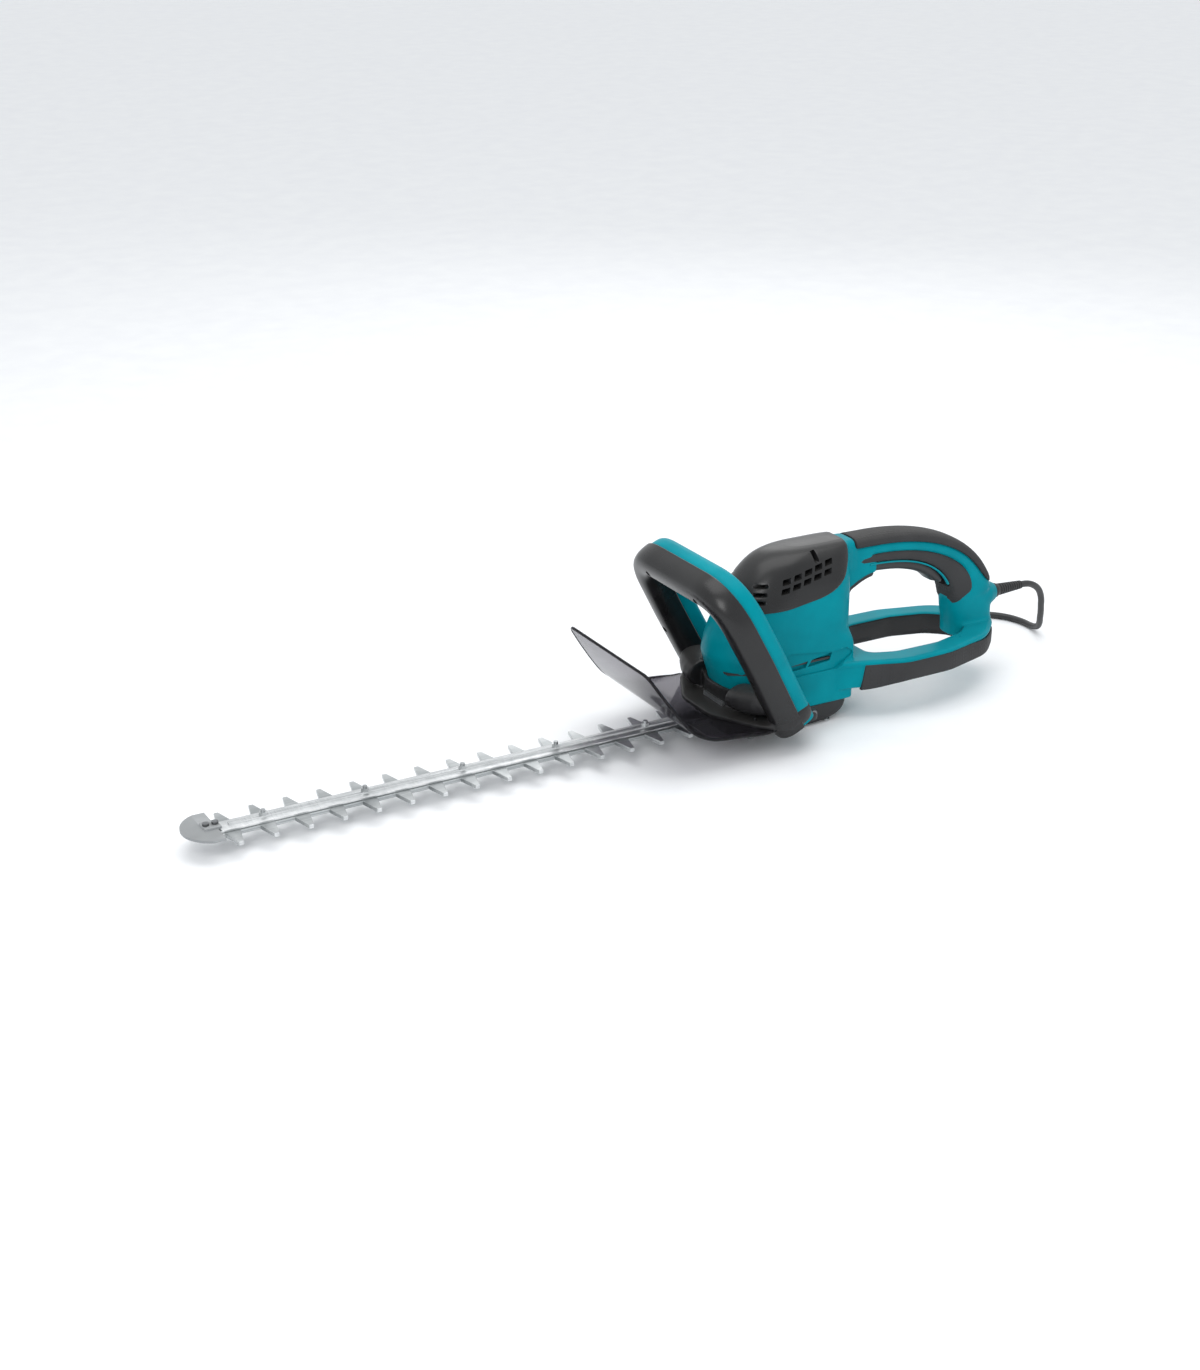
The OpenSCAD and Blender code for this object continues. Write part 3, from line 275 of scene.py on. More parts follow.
def finish(name, colour, darker, rough, spread=0.1, metal=0.0, coat=0.0, grain_size=900, bump=0.2,
           depth=0.0001, worn="", edge=0.53, dusty=0.0, streaks=None, dots=0.0, level=0.5):
    mat = bpy.data.materials.new(name)
    mat.use_nodes = True
    tree = mat.node_tree
    shader = tree.nodes["Principled BSDF"]
    shader.inputs["Metallic"].default_value = metal
    shader.inputs["Coat Weight"].default_value = coat
    shader.inputs["Coat Roughness"].default_value = 0.12
    shader.inputs["Specular IOR Level"].default_value = level
    surface = place_group(tree, grain, Grain_size=grain_size, Patch_size=16)
    mottled = surface.outputs["Patches"]
    height = surface.outputs["Height"]
    if streaks:
        lines = place_group(tree, brushed, Across=streaks[0], Along=streaks[1])
        mottled = maths(tree, "MULTIPLY", mottled, lines.outputs["Streaks"])
        height = lines.outputs["Height"]
    if dots:
        where = add(tree, "ShaderNodeTexCoord")
        cells = add(tree, "ShaderNodeTexVoronoi", Scale=dots, Randomness=0.15)
        tree.links.new(where.outputs["Object"], cells.inputs["Vector"])
        studs = add(tree, "ShaderNodeMapRange", From_Min=0.42, From_Max=0.22)
        tree.links.new(cells.outputs["Distance"], studs.inputs["Value"])
        height = maths(tree, "ADD", maths(tree, "MULTIPLY", height, 0.3), studs.outputs["Result"])
    tint = blend_colour(tree, mottled, srgb(darker), srgb(colour))
    if worn:
        rubbed = place_group(tree, wear, Reach=edge, Softness=0.07)
        tint = blend_colour(tree, rubbed.outputs["Mask"], tint, srgb(worn))
    if dusty:
        settled = place_group(tree, dust, Amount=dusty)
        tint = blend_colour(tree, settled.outputs["Mask"], tint, srgb("b9b4a8"))
    tree.links.new(tint, shader.inputs["Base Color"])
    gloss = maths(tree, "MULTIPLY_ADD", mottled, spread)
    gloss.node.inputs[2].default_value = rough
    tree.links.new(gloss, shader.inputs["Roughness"])
    relief = add(tree, "ShaderNodeBump", Strength=bump, Distance=depth)
    tree.links.new(height, relief.inputs["Height"])
    tree.links.new(relief.outputs["Normal"], shader.inputs["Normal"])
    return mat


print("recipe ready")

# %% Plastics and rubbers
shell_teal = finish("shell_teal", "008c99", "007d8a", 0.27, 0.12, level=0.05, grain_size=1400, bump=0.12,
                    worn="2f9aa2", edge=0.57, dusty=0.02)
cover_grey = finish("cover_grey", "1f1f20", "171718", 0.25, 0.1, level=0.4, grain_size=1100, bump=0.14,
                    worn="4a4a4c", edge=0.6, dusty=0.03)
handle_grey = finish("handle_grey", "1c1c1d", "141415", 0.24, 0.1, level=0.42, grain_size=1200, bump=0.1,
                     worn="464648", edge=0.6, dusty=0.02)
base_grey = finish("base_grey", "29292a", "202021", 0.36, 0.14, level=0.35, grain_size=900, bump=0.25,
                   worn="4c4c4e", edge=0.58, dusty=0.05)
grip_rubber = finish("grip_rubber", "3a3a3b", "303031", 0.6, 0.12, level=0.25, grain_size=1600, bump=0.5,
                     depth=0.0005, worn="565658", edge=0.58, dusty=0.04, dots=230)
trigger_grey = finish("trigger_grey", "2b2b2c", "212122", 0.38, 0.1, grain_size=1200, bump=0.15,
                      worn="77777a", edge=0.54)
cord_rubber = finish("cord_rubber", "2f2f30", "252526", 0.42, 0.15, grain_size=1300, bump=0.3,
                     worn="5a5a5b", edge=0.56)
plate_grey = finish("plate_grey", "8d9092", "7b7e80", 0.36, 0.12, grain_size=1100, bump=0.2,
                    worn="b5b8ba", edge=0.54, dusty=0.1)
inner_plastic = finish("inner_plastic", "2b2b2d", "202022", 0.5, 0.12, grain_size=900, bump=0.2)
print("plastics and rubbers made")

# %% Metals
blade_steel = finish("blade_steel", "c9cccc", "9fa3a4", 0.3, 0.16, metal=1.0, bump=0.14, depth=0.00006,
                     streaks=(1100, 16), worn="eef0f0", edge=0.53)
bar_steel = finish("bar_steel", "d6d8d8", "b4b7b8", 0.32, 0.14, metal=1.0, bump=0.12, depth=0.00006,
                   streaks=(16, 1100), worn="f2f3f3", edge=0.53)
screw_steel = finish("screw_steel", "b4b7b8", "8b8e90", 0.26, 0.14, metal=1.0, grain_size=1500, bump=0.1,
                     worn="e4e6e6", edge=0.54)
screw_black = finish("screw_black", "3a3b3d", "29292b", 0.34, 0.14, metal=0.9, grain_size=1500, bump=0.12,
                     worn="9a9c9e", edge=0.53)
cast_alloy = finish("cast_alloy", "a7aaab", "86898b", 0.48, 0.16, metal=0.9, grain_size=500, bump=0.3)
brass = finish("brass", "c9974a", "a87a36", 0.3, 0.16, metal=1.0, grain_size=900, bump=0.1)
copper_wire = finish("copper_wire", "b5683c", "8a4a2a", 0.34, 0.14, metal=0.9, bump=0.5, depth=0.0003,
                     streaks=(420, 420))
sheet_core = finish("sheet_core", "7d7f82", "56585b", 0.4, 0.15, metal=0.8, bump=0.4, depth=0.0002,
                    streaks=(900, 10))
carbon = finish("carbon", "2a2a2c", "1b1b1d", 0.55, 0.1, grain_size=1300, bump=0.3)
print("metals made")

# %% The smoky clear finish
# The guard is see-through, so light has to pass: transmission and metallic stay plain numbers here.
smoke = bpy.data.materials.new("smoke_clear")
smoke.use_nodes = True
tree = smoke.node_tree
shader = tree.nodes["Principled BSDF"]
shader.inputs["Transmission Weight"].default_value = 0.93
shader.inputs["IOR"].default_value = 1.2
surface = place_group(tree, grain, Grain_size=700, Patch_size=9)
rubbed = place_group(tree, wear, Reach=0.54, Softness=0.08)
tint = blend_colour(tree, surface.outputs["Patches"], srgb("625f66"), srgb("6b686f"))
tint = blend_colour(tree, rubbed.outputs["Mask"], tint, srgb("7c7980"))
tree.links.new(tint, shader.inputs["Base Color"])
gloss = maths(tree, "MULTIPLY_ADD", surface.outputs["Patches"], 0.05)
gloss.node.inputs[2].default_value = 0.05
tree.links.new(gloss, shader.inputs["Roughness"])
relief = add(tree, "ShaderNodeBump", Strength=0.04, Distance=0.0001)
tree.links.new(surface.outputs["Height"], relief.inputs["Height"])
tree.links.new(relief.outputs["Normal"], shader.inputs["Normal"])
floor_finish = finish("floor_sweep", "f4f5f6", "f0f1f3", 0.7, 0.1, grain_size=300, bump=0.02)
floor_mesh.materials.append(floor_finish)
power_cord.data.materials.append(cord_rubber)
print("finishes:", len(bpy.data.materials))

# %% [markdown]
# ## Tools for making pieces
# Almost every piece here is moulded, so its surface runs smoothly from one outline to the next. The
# simplest way to get that is a loft: a stack of closed rings with equal numbers of points, joined by
# quads. Where two moulded forms melt together we join them by a voxel remesh and relax the result, which
# leaves the small fillets that a mould has. Slots and splits are cut with exact booleans afterwards.

# %% Mesh helpers
def piece(name, points, faces):
    mesh = bpy.data.meshes.new(name)
    mesh.from_pydata([tuple(c * MM for c in p) for p in points], [], faces)
    obj = bpy.data.objects.new(name, mesh)
    scene.collection.objects.link(obj)
    return obj


def loft(name, rings, closed=False):
    # Rings of equal length joined by quads; closed joins the last ring to the first
    count, size = len(rings), len(rings[0])
    faces = []
    for i in range(count if closed else count - 1):
        a, b = i * size, (i + 1) % count * size
        faces += [(a + j, a + (j + 1) % size, b + (j + 1) % size, b + j) for j in range(size)]
    if not closed:
        faces += [tuple(range(size))[::-1], tuple((count - 1) * size + j for j in range(size))]
    obj = piece(name, [p for ring in rings for p in ring], faces)
    edit(obj, lambda bm: bmesh.ops.recalc_face_normals(bm, faces=bm.faces))
    return obj


def edit(obj, change):
    bm = bmesh.new()
    bm.from_mesh(obj.data)
    change(bm)
    bm.to_mesh(obj.data)
    bm.free()


def baked_mesh(obj):
    return bpy.data.meshes.new_from_object(obj.evaluated_get(bpy.context.evaluated_depsgraph_get()))


def bake(obj):
    # Turns an object's modifiers into plain mesh
    ready = baked_mesh(obj)
    obj.modifiers.clear()
    obj.data = ready
    return obj


def combine(obj, others, operation):
    for other in others:
        step = obj.modifiers.new("combine", "BOOLEAN")
        step.object, step.operation, step.solver = other, operation, "EXACT"
    bake(obj)
    for other in others:
        bpy.data.objects.remove(other)


def melt(obj, others, voxel=1.6, passes=8):
    # Joins closed forms into one skin and relaxes it, so that fillets appear where they meet
    for other in others:
        bm = bmesh.new()
        bm.from_mesh(obj.data)
        bm.from_mesh(other.data)
        bm.to_mesh(obj.data)
        bm.free()
        bpy.data.objects.remove(other)
    remesh = obj.modifiers.new("skin", "REMESH")
    remesh.mode, remesh.voxel_size, remesh.use_smooth_shade = "VOXEL", voxel * MM, True
    relax = obj.modifiers.new("relax", "SMOOTH")
    relax.factor, relax.iterations = 0.5, passes
    bake(obj)


def smooth(obj, angle=32):
    # Smooth shading with crisp lines where faces turn by more than the angle
    def mark(bm):
        for face in bm.faces:
            face.smooth = True
        for line in bm.edges:
            line.smooth = len(line.link_faces) < 2 or line.calc_face_angle(0) < math.radians(angle)
    edit(obj, mark)


def bevelled(obj, width, angle=38, segments=2):
    step = obj.modifiers.new("bevel", "BEVEL")
    step.width, step.segments = width * MM, segments
    step.limit_method, step.angle_limit = "ANGLE", math.radians(angle)
    bake(obj)


def dress(obj, body, material, *nodes, angle=32):
    # Finish, motion and the CAD nodes that the piece stands for
    smooth(obj, angle)
    obj.data.materials.clear()
    obj.data.materials.append(material)
    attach(obj, body)
    if nodes:
        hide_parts(*nodes)
    print(obj.name, len(obj.data.polygons), "faces")


print("mesh helpers ready")

# %% Curve helpers
def through(x, stations, values):
    # A smooth curve through given stations that never swings past them
    xs, ys = np.array(stations, float), np.array(values, float)
    rise = np.diff(ys) / np.diff(xs)
    slope = np.concatenate([rise[:1], np.zeros(len(xs) - 2), rise[-1:]])
    for k in range(1, len(xs) - 1):
        if rise[k - 1] * rise[k] > 0:
            slope[k] = 2 * rise[k - 1] * rise[k] / (rise[k - 1] + rise[k])
    x = np.clip(x, xs[0], xs[-1])
    i = np.clip(np.searchsorted(xs, x) - 1, 0, len(xs) - 2)
    h = xs[i + 1] - xs[i]
    t = (x - xs[i]) / h
    return ((2 * t**3 - 3 * t**2 + 1) * ys[i] + (t**3 - 2 * t**2 + t) * h * slope[i]
            + (3 * t**2 - 2 * t**3) * ys[i + 1] + (t**3 - t**2) * h * slope[i + 1])


def oval(angle, half_a, half_b, power):
    # A point of a superellipse, from a round oval at 2 to a nearly square one at 8
    c, s = math.cos(angle), math.sin(angle)
    return (half_a * math.copysign(abs(c) ** (2 / power), c),
            half_b * math.copysign(abs(s) ** (2 / power), s))


def prism(name, outline, low, high, axis="y"):
    # An outline pushed along an axis: (x, z) along y, (x, y) along z, or (y, z) along x
    place = {"y": lambda p, d: (p[0], d, p[1]), "z": lambda p, d: (p[0], p[1], d),
             "x": lambda p, d: (d, p[0], p[1])}[axis]
    return loft(name, [[place(p, low) for p in outline], [place(p, high) for p in outline]])


def rounded(outline, radius, steps=6):
    # Rounds every corner of an outline by a short curve
    points = []
    for i, corner in enumerate(outline):
        corner, before = Vector(corner[:2]), Vector(outline[i - 1][:2])
        after = Vector(outline[(i + 1) % len(outline)][:2])
        r = outline[i][2] if len(outline[i]) > 2 else radius
        u, w = (before - corner), (after - corner)
        half = u.angle(w) / 2
        t = min(r / math.tan(half), 0.48 * u.length, 0.48 * w.length)
        a, b = corner + u.normalized() * t, corner + w.normalized() * t
        for k in range(steps + 1):
            s = k / steps
            p = (1 - s) ** 2 * a + 2 * s * (1 - s) * corner + s * s * b
            points.append((p.x, p.y))
    return points


def ovals(count, half_a, half_b, power):
    return [oval(2 * math.pi * k / count, half_a, half_b, power) for k in range(count)]


def around(count):
    # Evenly spaced angles of one full turn
    return np.linspace(0, 2 * math.pi, count + 1)[:-1]


def disc(x, y, z, r_y, r_z, count):
    # A ring of points that faces along the machine
    return [(x, y + r_y * math.cos(a), z + r_z * math.sin(a)) for a in around(count)]


print("curve helpers ready")

# %% [markdown]
# ## The motor body
# The shell is a pair of clam-like halves around an upright motor. Seen from above its nose is blunt near
# the cutter and slimmer higher up; above the middle its rear narrows to the width of the grip, and the
# top closes in a dome. We describe a level outline for any height and stack these outlines.

# %% Level outlines of the body
LEVEL = [26, 60, 85, 98, 112, 127, 147, 169, 186, 197, 204, 207.5, 209]
NOSE = [-56, -63, -73, -77, -75.5, -70, -57, -42, -28, -16, -3, 10, 26]
HALF = [45.6, 46, 46, 46, 46, 46, 46, 44, 39.5, 34, 27, 20, 13]
LENGTH = [44, 46, 52, 56, 62, 62, 60, 58, 54, 50, 44, 38, 28]
POWER = [2.7, 2.5, 2.2, 2.1, 2.0, 2.0, 2.1, 2.3, 2.4, 2.4, 2.3, 2.2, 2.2]
BODY_REAR, BODY_TOP = 97.0, 209.0


def body_outline(z, inward=0.0):
    nose, half, length, power = (float(through(z, LEVEL, v)) for v in (NOSE, HALF, LENGTH, POWER))
    narrow = min(max((z - 90) / 22, 0), 1)
    narrow = narrow * narrow * (3 - 2 * narrow)
    rear_x, rear_y = 91 - 24 * narrow, 40 - 20 * narrow
    rear_y = min(rear_y, half * 0.8)
    start = nose + length
    points = []
    for k in range(26):
        x, y = oval(math.pi / 2 * k / 25, length, half, power)
        points.append((start - x, y))
    points += [(start + (rear_x - start) * k / 10, half) for k in range(1, 10)]
    for k in range(10):
        x, y = oval(math.pi / 2 * (1 - k / 9), BODY_REAR - rear_x, half - rear_y, 2.2)
        points.append((rear_x + x, rear_y + y))
    points += [(BODY_REAR, rear_y * (1 - k / 4)) for k in range(1, 5)]
    middle = (start + rear_x) / 2
    moved = []
    for x, y in points:
        # Inward shifts every side towards the middle line of the body
        reach = min(abs(x - middle) / (abs(nose - middle) if x < middle else BODY_REAR - middle), 1)
        moved.append((x + inward * (1 if x < middle else -1) * reach, max(y - inward * (y > 0), 0)))
    return moved + [(x, -y) for x, y in moved[1:-1]][::-1]


def body_form(name, inward=0.0, low=22.0):
    top = BODY_TOP - inward
    heights = list(np.linspace(low, 150, 30)) + [150 + (top - 150) * math.sin(a) for a in
                                                 np.linspace(0, math.pi / 2, 26)[1:]]
    return loft(name, [[(x, y, z) for x, y in body_outline(z + inward, inward)] for z in heights])


print("outline at half height:", len(body_outline(110)), "points")

# %% [markdown]
# ## Curves of the rear handle
# The rear handle is an arch over the trigger with a ring under it. One curve runs along the arch's top
# and another along its underside; distances measured inwards from the top curve place the bright stripe
# and the edges of the two grips.

# %% Arch curves
TOP_CURVE = [(138, 206), (228, 205), (300, 176), (318, 112)]
LOW_CURVE = [(108, 172), (190, 176), (245, 160), (256, 104)]


def bez(curve, t):
    a, b, c, d = (Vector(p) for p in curve)
    t = float(t)
    return (1 - t) ** 3 * a + 3 * (1 - t) ** 2 * t * b + 3 * (1 - t) * t * t * c + t ** 3 * d


def arch_at(s, depth):
    # s from 0 at the body to 1 at the arch's foot; depth is measured inwards from the top
    s, depth = float(s), float(depth)
    if s < 0.13:
        x = 96 + (138 - 96) * s / 0.13
        return Vector((x, 206.6 - 0.6 * s / 0.13 - depth))
    t = (s - 0.13) / 0.87
    way = (bez(TOP_CURVE, min(t + 0.01, 1)) - bez(TOP_CURVE, max(t - 0.01, 0))).normalized()
    return bez(TOP_CURVE, t) + depth * Vector((way.y, -way.x))


def low_frame(t):
    # A point of the underside and the direction from it into the grip
    p = bez(LOW_CURVE, t)
    q = (bez(LOW_CURVE, min(t + 0.01, 1)) - bez(LOW_CURVE, max(t - 0.01, 0))).normalized()
    return p, Vector((-q.y, q.x))


def underside(s):
    # Depth of the grip's underside below the top curve
    p, way = arch_at(s, 0), arch_at(s, 1) - arch_at(s, 0)
    best = min((abs((bez(LOW_CURVE, t) - p).cross(way)), (bez(LOW_CURVE, t) - p).dot(way))
               for t in np.linspace(0, 1, 60))
    return best[1]


depths = [(s, round(underside(s), 1)) for s in (0.1, 0.3, 0.5, 0.7, 0.9)]
print("depth of the grip:", depths)

# %% Ring outlines
RING_OUT = [(52, -43, 20), (96, -55, 60), (150, -76, 50), (214, -75, 60), (282, -56, 60), (321, -18, 34),
            (321, 18, 34), (282, 56, 60), (214, 75, 60), (150, 76, 50), (96, 55, 60), (52, 43, 20)]
RING_IN = [(124, -34, 14), (156, -45, 24), (214, -45, 30), (256, -34, 24), (280, -14, 20),
           (280, 14, 20), (256, 34, 24), (214, 45, 30), (156, 45, 24), (124, 34, 14)]
HUB = Vector((202, 0))


def radial(outline, count=168):
    # The same outline as evenly turned distances from the hub, smoothed a little
    dense = []
    pts = [Vector(p) for p in rounded(outline, 10, 8)]
    for a, b in zip(pts, pts[1:] + pts[:1]):
        dense += [a.lerp(b, k / 8) - HUB for k in range(8)]
    turn = np.array([math.atan2(p.y, p.x) for p in dense])
    far = np.array([p.length for p in dense])
    order = np.argsort(turn)
    angles = -math.pi + 2 * math.pi * np.arange(count) / count
    values = np.interp(angles, turn[order], far[order], period=2 * math.pi)
    for _ in range(3):
        values = (np.roll(values, 1) + 2 * values + np.roll(values, -1)) / 4
    return angles, values


turns, ring_out = radial(RING_OUT)
_, ring_in = radial(RING_IN)


def ring_band(name, section):
    # section(a) gives pairs (side, inset, height): side 1 counts from the outer edge, 0 from the inner
    rings = []
    for a, outer, inner in zip(turns, ring_out, ring_in):
        x0, y0 = HUB
        x_here = x0 + outer * math.cos(a)
        rings.append([(x0 + (outer - d if side else inner + d) * math.cos(a),
                       y0 + (outer - d if side else inner + d) * math.sin(a), z)
                      for side, d, z in section(x_here)])
    return loft(name, rings, closed=True)


print("ring points:", len(turns))

# %% [markdown]
# ## One bright shell
# On the real machine the body, the strap, the arch's core, the rear column, the cord boss and the ring are
# one moulding, split down the middle. We make each as a simple loft, melt them into one skin for natural
# fillets, hollow the motor room, cut away what the dark cover holds, and at last split it at the middle
# plane into a left and a right half with a hairline between them.

# %% The bright forms before melting
def arch_ring(s, half, top, low, power=3.4, count=28):
    # Upright section of the arch between two depths
    mid, tall = (top + low) / 2, (low - top) / 2
    points = []
    for y, d in ovals(count, half, tall, power):
        p = arch_at(s, mid - d)
        points.append((p.x, y, p.y))
    return points


shell = body_form("bright_shell", 0.0, 24.6)
strap = loft("strap", [arch_ring(s, 19.3 + 3 * max(0.035 - s, 0) / 0.035, 0.2, 44, 4.5)
                       for s in np.linspace(-0.04, 0.045, 8)])


def core_ring(s):
    half = float(through(s, [0, 0.5, 0.8, 0.9, 1.0], [18.2, 18.2, 18.5, 19, 19.4]))
    top = float(through(s, [0, 0.045, 0.06, 0.78, 0.9, 0.97, 1.0], [7, 8, 9, 9, 6, 0.6, 0.3]))
    return arch_ring(s, half, top, float(through(s, [0, 0.06, 0.7, 0.85, 1.0], [26, 25, 25, 32, 52])))


core = loft("core", [core_ring(s) for s in np.linspace(0.0, 1.0, 44)])
COLUMN = [(56, 292, 30, 22, 3), (64, 292, 30, 23, 3), (70, 291.5, 30, 22.5, 3), (76, 290.5, 30.5, 20, 3.2),
          (90, 289, 32, 19, 3.4), (104, 287, 32, 18.8, 3.4), (112, 287, 31, 18.4, 3.4), (118, 288, 28, 17, 3)]
column = loft("column", [[(middle + x, y, z) for x, y in ovals(32, half_x, half_y, power)]
                         for z, middle, half_x, half_y, power in COLUMN])
LEAD_Z = 98
BOSS = [(296, 18.5), (310, 18), (318, 16.5), (325, 13.2), (329.5, 11), (331, 9.6)]
boss = loft("boss", [disc(x, 0, LEAD_Z, r, r, 32) for x, r in BOSS])


def ring_foot(x):
    # The ring's underside dips towards the body
    near = min(max((160 - x) / 60, 0), 1)
    return 45.2 - 8.5 * near * near * (3 - 2 * near)


ring_core = ring_band("ring_core", lambda x: [
    (1, 3.2, ring_foot(x) + 1.8), (1, 3.2, 66), (1, 0.4, 67.2), (1, 0.1, 69.4), (1, 1.6, 71.4), (1, 5, 72),
    (0, 6, 72), (0, 2.2, 71.6), (0, 0.6, 70.4), (0, 3.4, 69.6), (0, 3.4, ring_foot(x) + 1.8)])
GUSSET = [(88, 190), (126, 186), (142, 178), (142, 162), (130, 160), (114, 153.5), (103.5, 146.5),
          (99.5, 131), (97.5, 112), (88, 108)]
gusset = prism("gusset", rounded(GUSSET, 4), -18.4, 18.4)
WEB = [(66, 45), (80, 20), (113, 30), (127, 52), (116, 62), (98, 54.5)]
webs = [prism("web", rounded([(x, side * y) for x, y in WEB], 5), 46, 71.4, "z") for side in (-1, 1)]
melt(shell, [strap, core, column, boss, ring_core, gusset] + webs, 1.5, 9)
print("bright shell skin:", len(shell.data.polygons), "faces")

# %% The seam between shell and cover
SEAM_X = [-95, -60, -20, 2, 25, 48, 62, 72, 81, 87, 91, 94, 95.5]
SEAM_Z = [148, 148.5, 149.5, 150.5, 153.5, 157, 161.5, 167.5, 176, 187, 196, 206, 218]


def seam_line(gap):
    xs = list(np.linspace(-95, 95.4, 70))
    return [(x, float(through(x, SEAM_X, SEAM_Z)) + gap) for x in xs]


def above_seam(name, gap):
    return prism(name, seam_line(gap) + [(95.4, 230), (-95, 230)], -70, 70)


def below_seam(name, gap):
    return prism(name, seam_line(gap) + [(130, 218), (130, -10), (-95, -10)], -70, 70)


motor_room = body_form("motor_room", 3.2, 10.0)
combine(shell, [above_seam("cover_space", -0.15), motor_room], "DIFFERENCE")
print("shell hollowed:", len(shell.data.polygons), "faces")

# %% Slots, panel lines and the sleeve's hole
PANEL = rounded([(-6, 66), (70, 66), (94, 82), (84, 90), (66, 88), (8, 96), (-6, 92)], 3)
SLOT_A = rounded([(1, 72.5), (29, 74.3), (32.5, 82), (5, 79.4)], 0.8, 3)
SLOT_B = rounded([(32, 74.4), (62, 77), (65, 86.5), (59, 86), (37, 82.4)], 0.7, 3)
PANEL_DEPTH, SLOT_DEPTH, OUTSIDE = 43.9, 40, 60
cutters = []
for side in (-1, 1):
    for outline, depth in ((SLOT_A, SLOT_DEPTH), (SLOT_B, SLOT_DEPTH), (PANEL, PANEL_DEPTH)):
        cutters.append(prism("slot", outline, *sorted((side * depth, side * OUTSIDE))))
cutters.append(loft("sleeve_hole", [disc(x, 0, LEAD_Z, 6.9, 6.9, 40) for x in (300, 340)]))
cutters.append(prism("strap_top", [(60, 206.9), (111, 206.9), (111, 230), (60, 230)], -40, 40))
combine(shell, cutters, "DIFFERENCE")


def half_of(obj, name, side):
    # Keeps one side of the middle plane and closes the cut
    half = bpy.data.objects.new(name, obj.data.copy())
    scene.collection.objects.link(half)

    def cut(bm):
        found = bmesh.ops.bisect_plane(bm, geom=bm.verts[:] + bm.edges[:] + bm.faces[:], dist=1e-6,
                                       plane_co=(0, side * 0.07 * MM, 0), plane_no=(0, -side, 0),
                                       clear_outer=True)
        lines = [g for g in found["geom_cut"] if isinstance(g, bmesh.types.BMEdge)]
        bmesh.ops.holes_fill(bm, edges=lines, sides=0)
    edit(half, cut)
    return half


for side, word in ((-1, "left"), (1, "right")):
    dress(half_of(shell, "shell_" + word, side), "machine", shell_teal, "housing_" + word)
bpy.data.objects.remove(shell)

# %% [markdown]
# ## Motor cover
# A separate dark cap closes the motor room. It is slightly proud of the bright shell, glossy, and cut by
# two rows of slanted air slots on each side with a few more at the front corners. We take the body's own
# outlines, so that the two surfaces meet, and cut the slots right through to show the motor behind.

# %% The cover and its air slots
def shifted(outline, dx, dz):
    return [(x + dx, z + dz) for x, z in outline]


cover = body_form("cover_cap", -0.45, 140.0)
room = body_form("cover_room", 2.4, 130.0)
combine(cover, [below_seam("under_seam", 0.25), room], "DIFFERENCE")
VENT = [(0, 0), (10.4, 1.6), (12.6, 8.0), (2.2, 6.4)]
FRONT_VENT = [(0, 0), (13, 0.6), (14.5, 5), (1.5, 4.4)]
cutters = []
for side in (-1, 1):
    near, far = sorted((side * 22, side * 60))
    for column_number in range(5):
        for row in range(2):
            x, z = -4 + 14.4 * column_number - 3.0 * (1 - row), 168 + 3.1 * column_number + 9.6 * row
            cutters.append(prism("vent", rounded(shifted(VENT, x, z), 0.8, 2), near, far))
    for k in range(3):
        x, z = -38 + 3 * k, 158 + 8.5 * k
        cutters.append(prism("vent", rounded(shifted(FRONT_VENT, x, z), 0.8, 2), near, far))
NOTCH = [(42, 195), (48.4, 195.6), (48.4, 207), (42, 206.4)]
cutters.append(prism("notch", NOTCH, -46, -20))
combine(cover, cutters, "DIFFERENCE")
bevelled(cover, 0.5, 40, 2)
dress(cover, "machine", cover_grey, "motor_cover")

# %% [markdown]
# ## Sole and front base
# Under the bright shell sits a dark sole with rounded ends, open at the front where the blades enter. The
# front handle and the guard bolt to a wider dark base that wraps the nose. We loft the sole from the
# body's own outline, and melt the base from its plate, cups and lugs for the handle's feet, fairings and
# a collar around the nose.

# %% The sole
def sole_outline(z, shrink=0.0):
    rear = float(through(z, [0, 2, 5, 9, 16, 26], [66, 74, 83, 90, 95.5, 97])) - shrink
    front = float(through(z, [0, 3, 8, 14, 26], [-56, -64, -71, -76, -78])) + shrink
    half = float(through(z, [0, 2, 5, 10, 26], [38, 41.5, 44, 45.6, 46])) - shrink
    points = []
    for k in range(64):
        a = 2 * math.pi * k / 64
        x, y = oval(a, (rear - front) / 2, half, 3.6 if math.cos(a) < 0 else 5.5)
        points.append(((rear + front) / 2 + x, y, z))
    return points


sole = loft("sole", [sole_outline(z) for z in (0, 0.6, 1.5, 3, 5, 7.5, 10, 14, 18, 22, 25.4)])
inside = loft("sole_room", [sole_outline(z, 3.4) for z in (4, 10, 20, 30)])
mouth = prism("mouth", [(-16, 15.6), (16, 15.6), (16, 30), (-16, 30)], -90, -58, "x")
combine(sole, [inside, mouth], "DIFFERENCE")
dress(sole, "machine", base_grey, "base_cover")

# %% The front base
LEAN = math.radians(28)
FOOT = (-18, 28)


def lean(n, y, v):
    # The leaning frame of the front handle: n is forward or back across it, v runs up the loop
    return (FOOT[0] + n * math.cos(LEAN) - v * math.sin(LEAN), y,
            FOOT[1] + n * math.sin(LEAN) + v * math.cos(LEAN))


def cad_copy(node, name):
    obj = bpy.data.objects.new(name, bpy.data.objects[node].data.copy())
    scene.collection.objects.link(obj)
    obj.matrix_world = bpy.data.objects[node].matrix_world
    obj.data.transform(obj.matrix_world)
    obj.matrix_world = Matrix()
    return obj


